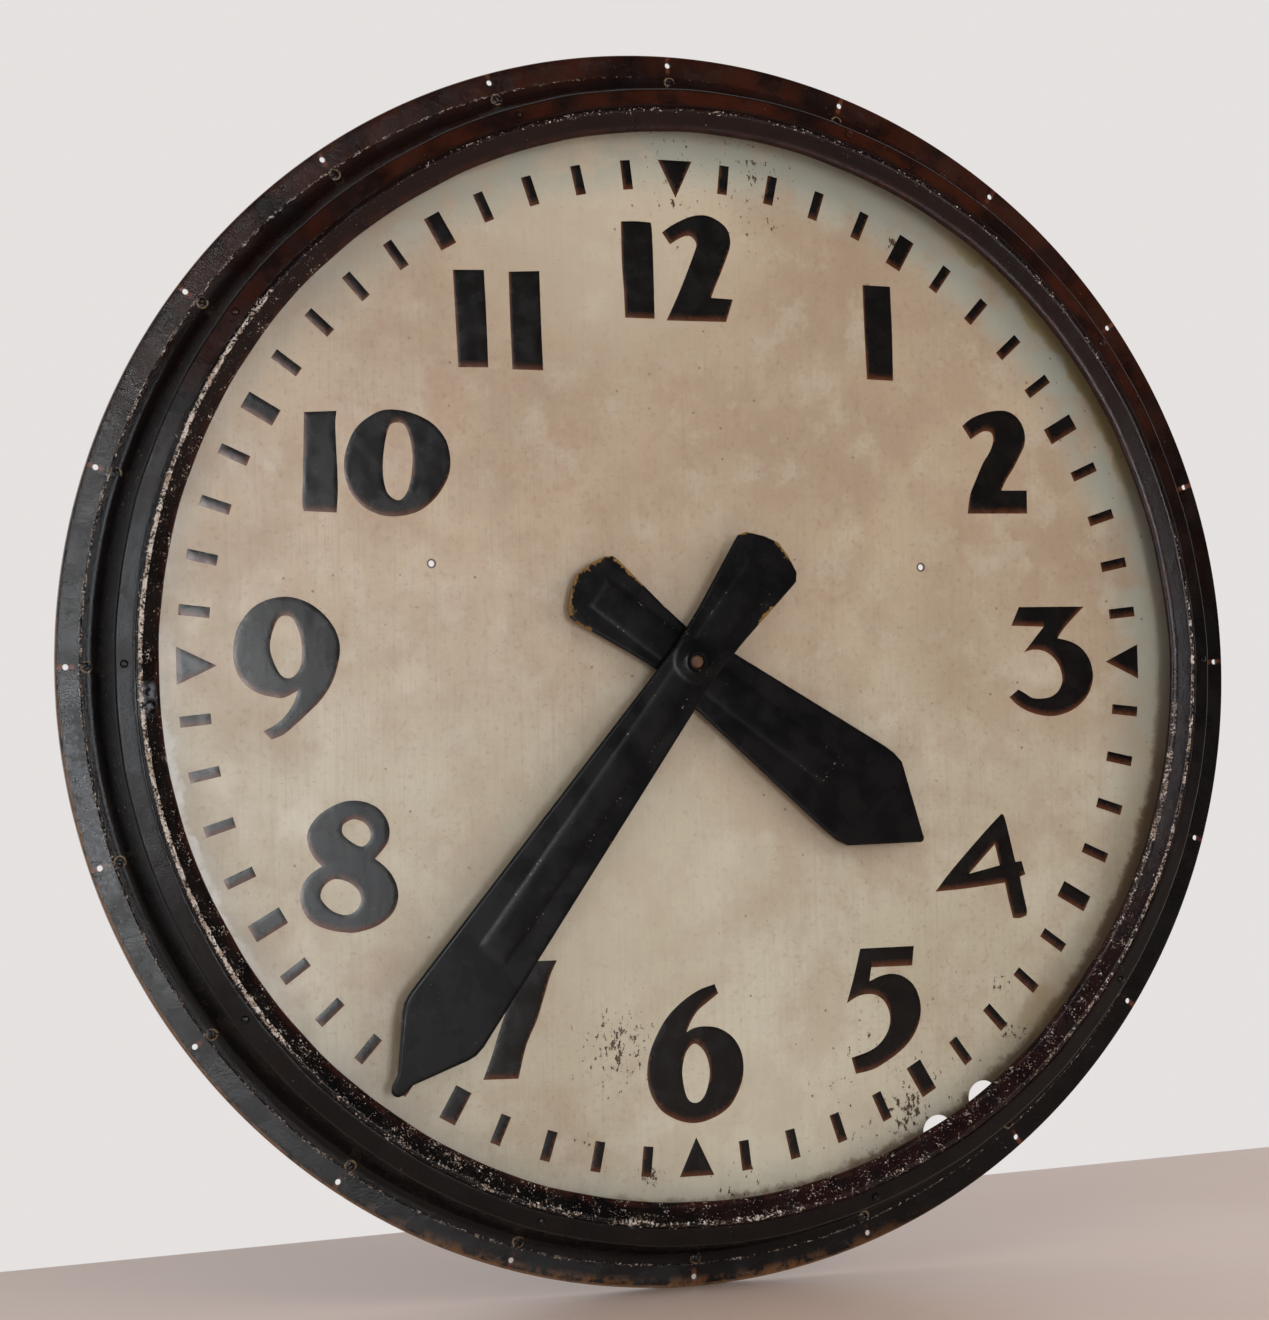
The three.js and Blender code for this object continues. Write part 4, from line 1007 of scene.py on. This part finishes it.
def outlines_of(shape, spacing):
    """Closed outlines from loops of runs, each run starting where the one before it ended."""
    outlines = []
    for runs in shape:
        if len(runs) == 1:
            outlines.append(curve_through([runs[0][-1]] + runs[0], spacing, closed=True))
            continue
        outline = []
        for index, run in enumerate(runs):
            outline += curve_through([runs[index - 1][-1]] + run, spacing)[:-1]
        outlines.append(outline)
    return outlines


def straight_mark(clock_angle, *corners):
    """A straight-sided shape whose corners are (radius, sideways) from a clock angle."""
    turn = math.radians(clock_angle)
    along, across = np.array([math.sin(turn), math.cos(turn)]), np.array([math.cos(turn), -math.sin(turn)])
    points = [tuple(along * radius + across * sideways) for radius, sideways in corners]
    return [[[point] for point in points[1:] + points[:1]]]


def bar_mark(mark, clock_angle):
    """A bar along a clock angle."""
    inner, outer, half = mark["inner"], mark["outer"], mark["half_width"]
    return straight_mark(clock_angle, (inner, -half), (outer, -half), (outer, half), (inner, half))


def triangle_mark(mark, clock_angle):
    """A triangle that points at the dial's centre."""
    inner, outer, half = mark["inner"], mark["outer"], mark["half_width"]
    return straight_mark(clock_angle, (inner, 0), (outer, -half), (outer, half))


def film(outlines, cell):
    """Corners and faces of a shallow, softly domed paint film over closed outlines, in metres."""
    border = [point for outline in outlines for point in outline]
    edges, first = [], 0
    for outline in outlines:
        edges += [(first + i, first + (i + 1) % len(outline)) for i in range(len(outline))]
        first += len(outline)
    low, high = np.min(border, axis=0), np.max(border, axis=0)
    xs, zs = np.meshgrid(np.arange(low[0], high[0], cell), np.arange(low[1], high[1], cell))
    grid = np.column_stack([xs.ravel(), zs.ravel()])
    grid = grid[inside_outlines(grid, outlines)]
    grid = grid[gap_to_outline(grid, outlines) > 0.45 * cell]
    points = [Vector(point) for point in border] + [Vector(point) for point in grid]
    flat, _, triangles, _, _, _ = geometry.delaunay_2d_cdt(points, edges, [], 0, 1e-5)
    flat = np.array([tuple(point) for point in flat])
    middles = np.array([flat[list(triangle)].mean(axis=0) for triangle in triangles])
    kept = [tri for tri, keep in zip(triangles, inside_outlines(middles, outlines)) if keep]
    edge, shoulder = PAINT_FILM["edge_share"], PAINT_FILM["shoulder"]
    rounding = edge + (1 - edge) * np.clip(gap_to_outline(flat, outlines) / shoulder, 0, 1)
    rise = PAINT_FILM["thickness"] * rounding
    top = [(x * MM, -(DIAL_FACE_DEPTH + lift) * MM, z * MM) for (x, z), lift in zip(flat, rise)]
    low_face = [(x * MM, -(DIAL_FACE_DEPTH + PAINT_FILM["gap"]) * MM, z * MM) for x, z in flat]
    count = len(top)
    faces = [tuple(tri) for tri in kept]
    faces += [tuple(count + i for i in reversed(tri)) for tri in kept]
    directed = {(tri[i], tri[(i + 1) % 3]) for tri in kept for i in range(3)}
    faces += [(b, a, count + a, count + b) for a, b in directed if (b, a) not in directed]
    return top + low_face, faces


def lower_edge_shading(points, outlines):
    """Painted shade: 1 where the paint's lower edge is close below a point, fading to 0 a few millimetres
    up.
    """
    reach = 6.0
    share = np.zeros(len(points))
    for step in (0.5, 1.2, 2, 3, 4, 5, reach):
        below = points + np.array([-0.25, -1.0]) * step
        outside = ~inside_outlines(below, outlines)
        share = np.maximum(share, outside * (1 - step / reach) ** 1.2)
    return share


def painted(name, shapes, paint, cell):
    """One piece of paint film on the dial, made of several outlined shapes."""
    corners, faces, lower_edge_shade = [], [], []
    for shape in shapes:
        outlines = outlines_of(shape, spacing=1.4)
        more, more_faces = film(outlines, cell)
        first = len(corners)
        corners += more
        faces += [tuple(first + i for i in face) for face in more_faces]
        flat = np.array([(x / MM, z / MM) for x, _, z in more])
        # Painted shade along each shape's lower edges.
        lower_edge_shade += list(lower_edge_shading(flat, outlines))
    mesh = mesh_of(name, corners, faces, ROUND_CREASE)
    numeric(mesh, "lower_edge_shade", lower_edge_shade)
    return finished(name, mesh, [paint], "case")


def dial_markings(paint):
    """Twelve numerals, forty-eight minute bars, eight five-minute bars and four triangles."""
    for name, contours in NUMERALS.items():
        painted(name, [contours], paint, cell=2.2)
    minutes = [6 * i for i in range(60)]
    bars = [bar_mark(MINUTE_MARK, angle) for angle in minutes if angle % 30]
    blocks = [bar_mark(FIVE_MINUTE_MARK, angle) for angle in minutes if angle % 30 == 0 and angle % 90]
    triangles = [triangle_mark(QUARTER_MARK, angle) for angle in minutes if angle % 90 == 0]
    painted("minute_marks", bars, paint, cell=2.6)
    painted("five_minute_marks", blocks, paint, cell=2.6)
    painted("quarter_marks", triangles, paint, cell=2.6)


# ---------------------------------------------------------------- the hands


def smooth_step(value, start, end):
    """0 at start and 1 at end, smooth between them."""
    share = np.clip((value - start) / (end - start), 0, 1)
    return share * share * (3 - 2 * share)


def hand_rows(outline):
    """(along, half width) about every two millimetres of a hand's outline, corners kept."""
    rows = []
    for (along, half), (next_along, next_half) in zip(outline, outline[1:]):
        steps = max(1, round(abs(next_along - along) / 2))
        for step in range(steps):
            share = step / steps
            rows.append((along + (next_along - along) * share, half + (next_half - half) * share))
    rows.append(outline[-1])
    rows[0] = (rows[0][0], 0.6)
    rows[-1] = (rows[-1][0], 0.6)
    return rows


def rib_margin(flat, rib):
    """How far each point is inside a hand's rib, in millimetres."""
    ends = np.minimum(flat[:, 1] - rib["tail"], rib["tip"] - flat[:, 1])
    return np.minimum(rib["half_width"] - np.abs(flat[:, 0]), ends)


def hand_mesh(name, spec):
    """A pressed-sheet hand pointing at twelve: rolled edge, hollow rib along it, domed boss."""
    rib, boss = spec["rib"], spec["boss"]
    rib_half, edge_roll, edge_drop = rib["half_width"], 1.6, 0.7
    fixed = [0, 5, 9, rib_half - 3, rib_half - 2, rib_half - 1, rib_half, rib_half + 1]
    outer = [0.25, 0.5, 0.72, 0.86, 0.94, 0.98, 1.0]
    rows = hand_rows(spec["outline"])
    front = []
    for along, half in rows:
        full = max(half, 20.0)
        side = fixed + [fixed[-1] + (full - fixed[-1]) * share for share in outer]
        scale = half / full
        line = [-x * scale for x in reversed(side[1:])] + [x * scale for x in side]
        front.append([(x, along) for x in line])
    flat = np.array([point for line in front for point in line])
    outline = [(half, along) for along, half in rows] + [(-half, along) for along, half in reversed(rows)]
    edge_gap = gap_to_outline(flat, [outline])
    rise = rib["rise"] * smooth_step(rib_margin(flat, rib), 0, 5)
    hub_gap = np.hypot(flat[:, 0], flat[:, 1])
    dome = boss["rise"] * (1 - smooth_step(hub_gap, boss["radius"] * 0.35, boss["radius"]))
    rise = np.maximum(rise, dome)
    rise -= edge_drop * (1 - smooth_step(edge_gap, 0, edge_roll)) ** 2
    top = [(x * MM, -(spec["front"] + lift) * MM, z * MM) for (x, z), lift in zip(flat, rise)]
    under = [(x, y + spec["sheet"] * MM, z) for x, y, z in top]
    columns, count = len(front[0]), len(top)
    faces = []
    for row in range(len(front) - 1):
        for column in range(columns - 1):
            a = row * columns + column
            quad = (a, a + 1, a + columns + 1, a + columns)
            faces += [quad, tuple(count + i for i in reversed(quad))]
    border = list(range(columns)) + [row * columns + columns - 1 for row in range(1, len(front))]
    border += [(len(front) - 1) * columns + column for column in range(columns - 2, -1, -1)]
    border += [row * columns for row in range(len(front) - 2, 0, -1)]
    faces += [(a, count + a, count + b, b) for a, b in zip(border, border[1:] + border[:1])]
    mesh = mesh_of(name, top + under, faces, ROUND_CREASE)
    mesh = drilled(mesh, [(place(0, 0, spec["front"]), spec["bore"], 20)])
    shade(mesh, ROUND_CREASE)
    flat = flat_corners(mesh)
    numeric(mesh, "edge", np.exp(-gap_to_outline(flat, [outline]) / 3.5))
    numeric(mesh, "ridge", np.exp(-np.abs(rib_margin(flat, rib) - 2) / 1.5))
    numeric(mesh, "tail", smooth_step(-flat[:, 1], -10, 60))
    return mesh


def hand(name, spec, paint, body, node):
    """A pressed hand, turned to its angle, in place of its CAD node."""
    piece = finished(name, hand_mesh(name, spec), [paint], body, spec["angle"])
    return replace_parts(piece, node)


# ---------------------------------------------------------------- the movement


def dress_nodes(nodes, record, finishes):
    """Gives every CAD node that still shows its slot's material and softened edges."""
    for entry in record["subparts"]:
        node = nodes[entry["node"]]
        node.data.materials.clear()
        node.data.materials.append(finishes[entry["material_slot"]])
        if node.hide_render:
            continue
        bevel = node.modifiers.new("softened", "BEVEL")
        bevel.width = SOFTENED_EDGE * MM
        bevel.segments = 2
        bevel.limit_method = "ANGLE"
        bevel.angle_limit = math.radians(SHEET_CREASE)
        shade(node.data, SHEET_CREASE)


# ---------------------------------------------------------------- stage


# Places in metres, angles in degrees, the camera's sensor and lens in millimetres.
FLOOR = {"half_width": 4, "length": 7, "end": 0.385, "turn": 8.4}
CAMERA = {
    "sensor": 36, "lens": 73.76, "place": (-0.7348, -2.0756, -0.1072),
    "azimuth": 18.585, "elevation": 2.909, "roll": -1.213,
}


def stage(frame_low):
    """A pale floor under the clock that ends a little behind it."""
    turn = math.radians(FLOOR["turn"])
    half, length = FLOOR["half_width"], FLOOR["length"]
    mesh = bpy.data.meshes.new("floor")
    corners = []
    for x, y in ((-half, 0), (half, 0), (half, -length), (-half, -length)):
        along = x * math.cos(turn) - y * math.sin(turn)
        behind = FLOOR["end"] + x * math.sin(turn) + y * math.cos(turn)
        corners.append((along, behind, frame_low))
    mesh.from_pydata(corners, [], [(0, 3, 2, 1)])
    mesh.materials.append(floor_finish())
    floor = bpy.data.objects.new("floor", mesh)
    bpy.context.scene.collection.objects.link(floor)


def backdrop():
    """White to the camera, softer as light, and dark in reflections except behind the clock."""
    world = bpy.data.worlds.new("studio")
    bpy.context.scene.world = world
    world.use_nodes = True
    nodes, links = world.node_tree.nodes, world.node_tree.links
    seen = nodes["Background"]
    glow = nodes.new("ShaderNodeBackground")
    mirrored = nodes.new("ShaderNodeBackground")
    path = nodes.new("ShaderNodeLightPath")
    for background, colour, strength in (
        (seen, (0.785, 0.755, 0.745, 1), 1.0),
        (glow, (0.97, 0.96, 0.98, 1), 0.5),
        (mirrored, (0.95, 0.94, 0.95, 1), 0.0),
    ):
        background.inputs["Color"].default_value = colour
        background.inputs["Strength"].default_value = strength
    direction = nodes.new("ShaderNodeTexCoord")
    parts = nodes.new("ShaderNodeSeparateXYZ")
    behind = nodes.new("ShaderNodeMapRange")
    for socket, value in (("From Min", 0.1), ("From Max", 0.6), ("To Min", 0.035), ("To Max", 0.75)):
        behind.inputs[socket].default_value = value
    links.new(direction.outputs["Generated"], parts.inputs[0])
    links.new(parts.outputs["Y"], behind.inputs["Value"])
    links.new(behind.outputs["Result"], mirrored.inputs["Strength"])
    shiny = nodes.new("ShaderNodeMixShader")
    either = nodes.new("ShaderNodeMixShader")
    links.new(path.outputs["Is Glossy Ray"], shiny.inputs[0])
    links.new(glow.outputs[0], shiny.inputs[1])
    links.new(mirrored.outputs[0], shiny.inputs[2])
    links.new(path.outputs["Is Camera Ray"], either.inputs[0])
    links.new(shiny.outputs[0], either.inputs[1])
    links.new(seen.outputs[0], either.inputs[2])
    links.new(either.outputs[0], nodes["World Output"].inputs["Surface"])


def area_light(name, location, target, size, power, colour, mirrored=True, scattered=True):
    """A soft rectangular light aimed at a point; it can be left out of gloss or of matt light."""
    data = bpy.data.lights.new(name, "AREA")
    data.shape = "RECTANGLE"
    data.size, data.size_y = size
    data.energy = power
    data.color = colour
    light = bpy.data.objects.new(name, data)
    light.location = location
    light.rotation_euler = (Vector(target) - Vector(location)).to_track_quat("-Z", "Y").to_euler()
    light.visible_glossy = mirrored
    light.visible_diffuse = scattered
    bpy.context.scene.collection.objects.link(light)


def lights():
    """Soft daylight from the front, with the reflections on the left of the rim kept apart."""
    centre = (0, 0, 0)
    warm, cool, white = (1.0, 0.96, 0.92), (0.9, 0.95, 1.0), (0.98, 0.98, 1.0)
    area_light("front_window", (0.1, -3.3, 0.1), centre, (0.7, 1.4), 22, white, mirrored=False)
    area_light("high_soft", (-0.3, -2.4, 2.7), (0, -0.4, 0), (2.4, 1.4), 13, warm, mirrored=False)
    area_light(
        "right_fill", (2.6, -1.45, 0.8), (0, 0, -0.1), (1.4, 1.6), 19, (1.0, 0.94, 0.88), mirrored=False
    )
    area_light(
        "front_sheen", (-0.12, -3.3, -0.1), centre, (0.4, 1.5), 46, (0.95, 0.98, 1.0), scattered=False
    )
    area_light("left_sheen", (-1.32, -1.18, 0.1), (-0.45, 0, 0), (0.5, 1.5), 14, cool, scattered=False)
    area_light("low_glare", (0.17, -2.3, -0.24), (-0.28, 0, -0.15), (0.10, 0.5), 1.5, (0.85, 0.93, 1.0))


def camera():
    """At the left of the clock and a little below its centre, looking slightly up."""
    data = bpy.data.cameras.new("camera")
    data.sensor_width = CAMERA["sensor"]
    data.lens = CAMERA["lens"]
    eye = bpy.data.objects.new("camera", data)
    azimuth, elevation, roll = (math.radians(CAMERA[key]) for key in ("azimuth", "elevation", "roll"))
    turn = (
        Matrix.Rotation(-azimuth, 4, "Z") @ Matrix.Rotation(math.pi / 2 + elevation, 4, "X")
        @ Matrix.Rotation(roll, 4, "Z")
    )
    eye.matrix_world = Matrix.Translation(CAMERA["place"]) @ turn
    bpy.context.scene.collection.objects.link(eye)
    bpy.context.scene.camera = eye


# ---------------------------------------------------------------- build


def build(frame, floor_height):
    """The whole clock on its frame, with its stage."""
    rim, behind = rim_paint(), rim_back()
    cream, enamel, satin = dial_paint(), numeral_paint(), hand_paint()
    flange(rim, behind)
    bezel(rim, behind)
    inner_ring(rim, behind)
    seam_screws(rim)
    dial_sheet(cream, dial_back())
    dial_markings(enamel)
    hand("minute_hand_pressing", MINUTE_HAND, satin, "minute_train", "minute_hand")
    hand("hour_hand_pressing", HOUR_HAND, satin, "hour_train", "hour_hand")
    finishes = {
        "black_paint": rim,
        "dial_paint": cream,
        "hand_paint": satin,
        "galvanised": bare_metal("galvanised", (0.42, 0.43, 0.43), (0.27, 0.28, 0.28), 0.42, 0.15),
        "brass": bare_metal("brass", (0.56, 0.38, 0.15), (0.30, 0.18, 0.07), 0.28),
        "steel": bare_metal("steel", (0.45, 0.46, 0.47), (0.27, 0.27, 0.28), 0.26, 0.05),
        "rusty_steel": bare_metal("rusty_steel", (0.12, 0.055, 0.028), (0.05, 0.021, 0.012), 0.5, 0.4, 0.4),
        "coil_tape": coil_tape(),
        "bakelite": bakelite(),
    }
    dress_nodes(frame["nodes"], frame["record"], finishes)
    stage(floor_height)
    backdrop()
    lights()
    camera()
    bpy.context.scene.view_settings.view_transform = "Standard"


with open("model.json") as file:
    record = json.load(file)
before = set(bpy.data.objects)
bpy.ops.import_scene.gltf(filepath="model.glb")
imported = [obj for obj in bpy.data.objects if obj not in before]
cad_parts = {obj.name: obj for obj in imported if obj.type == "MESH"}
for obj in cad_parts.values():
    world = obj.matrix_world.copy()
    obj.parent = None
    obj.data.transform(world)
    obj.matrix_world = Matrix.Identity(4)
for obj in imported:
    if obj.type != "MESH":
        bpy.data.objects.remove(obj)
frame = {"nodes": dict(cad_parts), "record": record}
cad_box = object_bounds()
build(frame, cad_box[0].z)
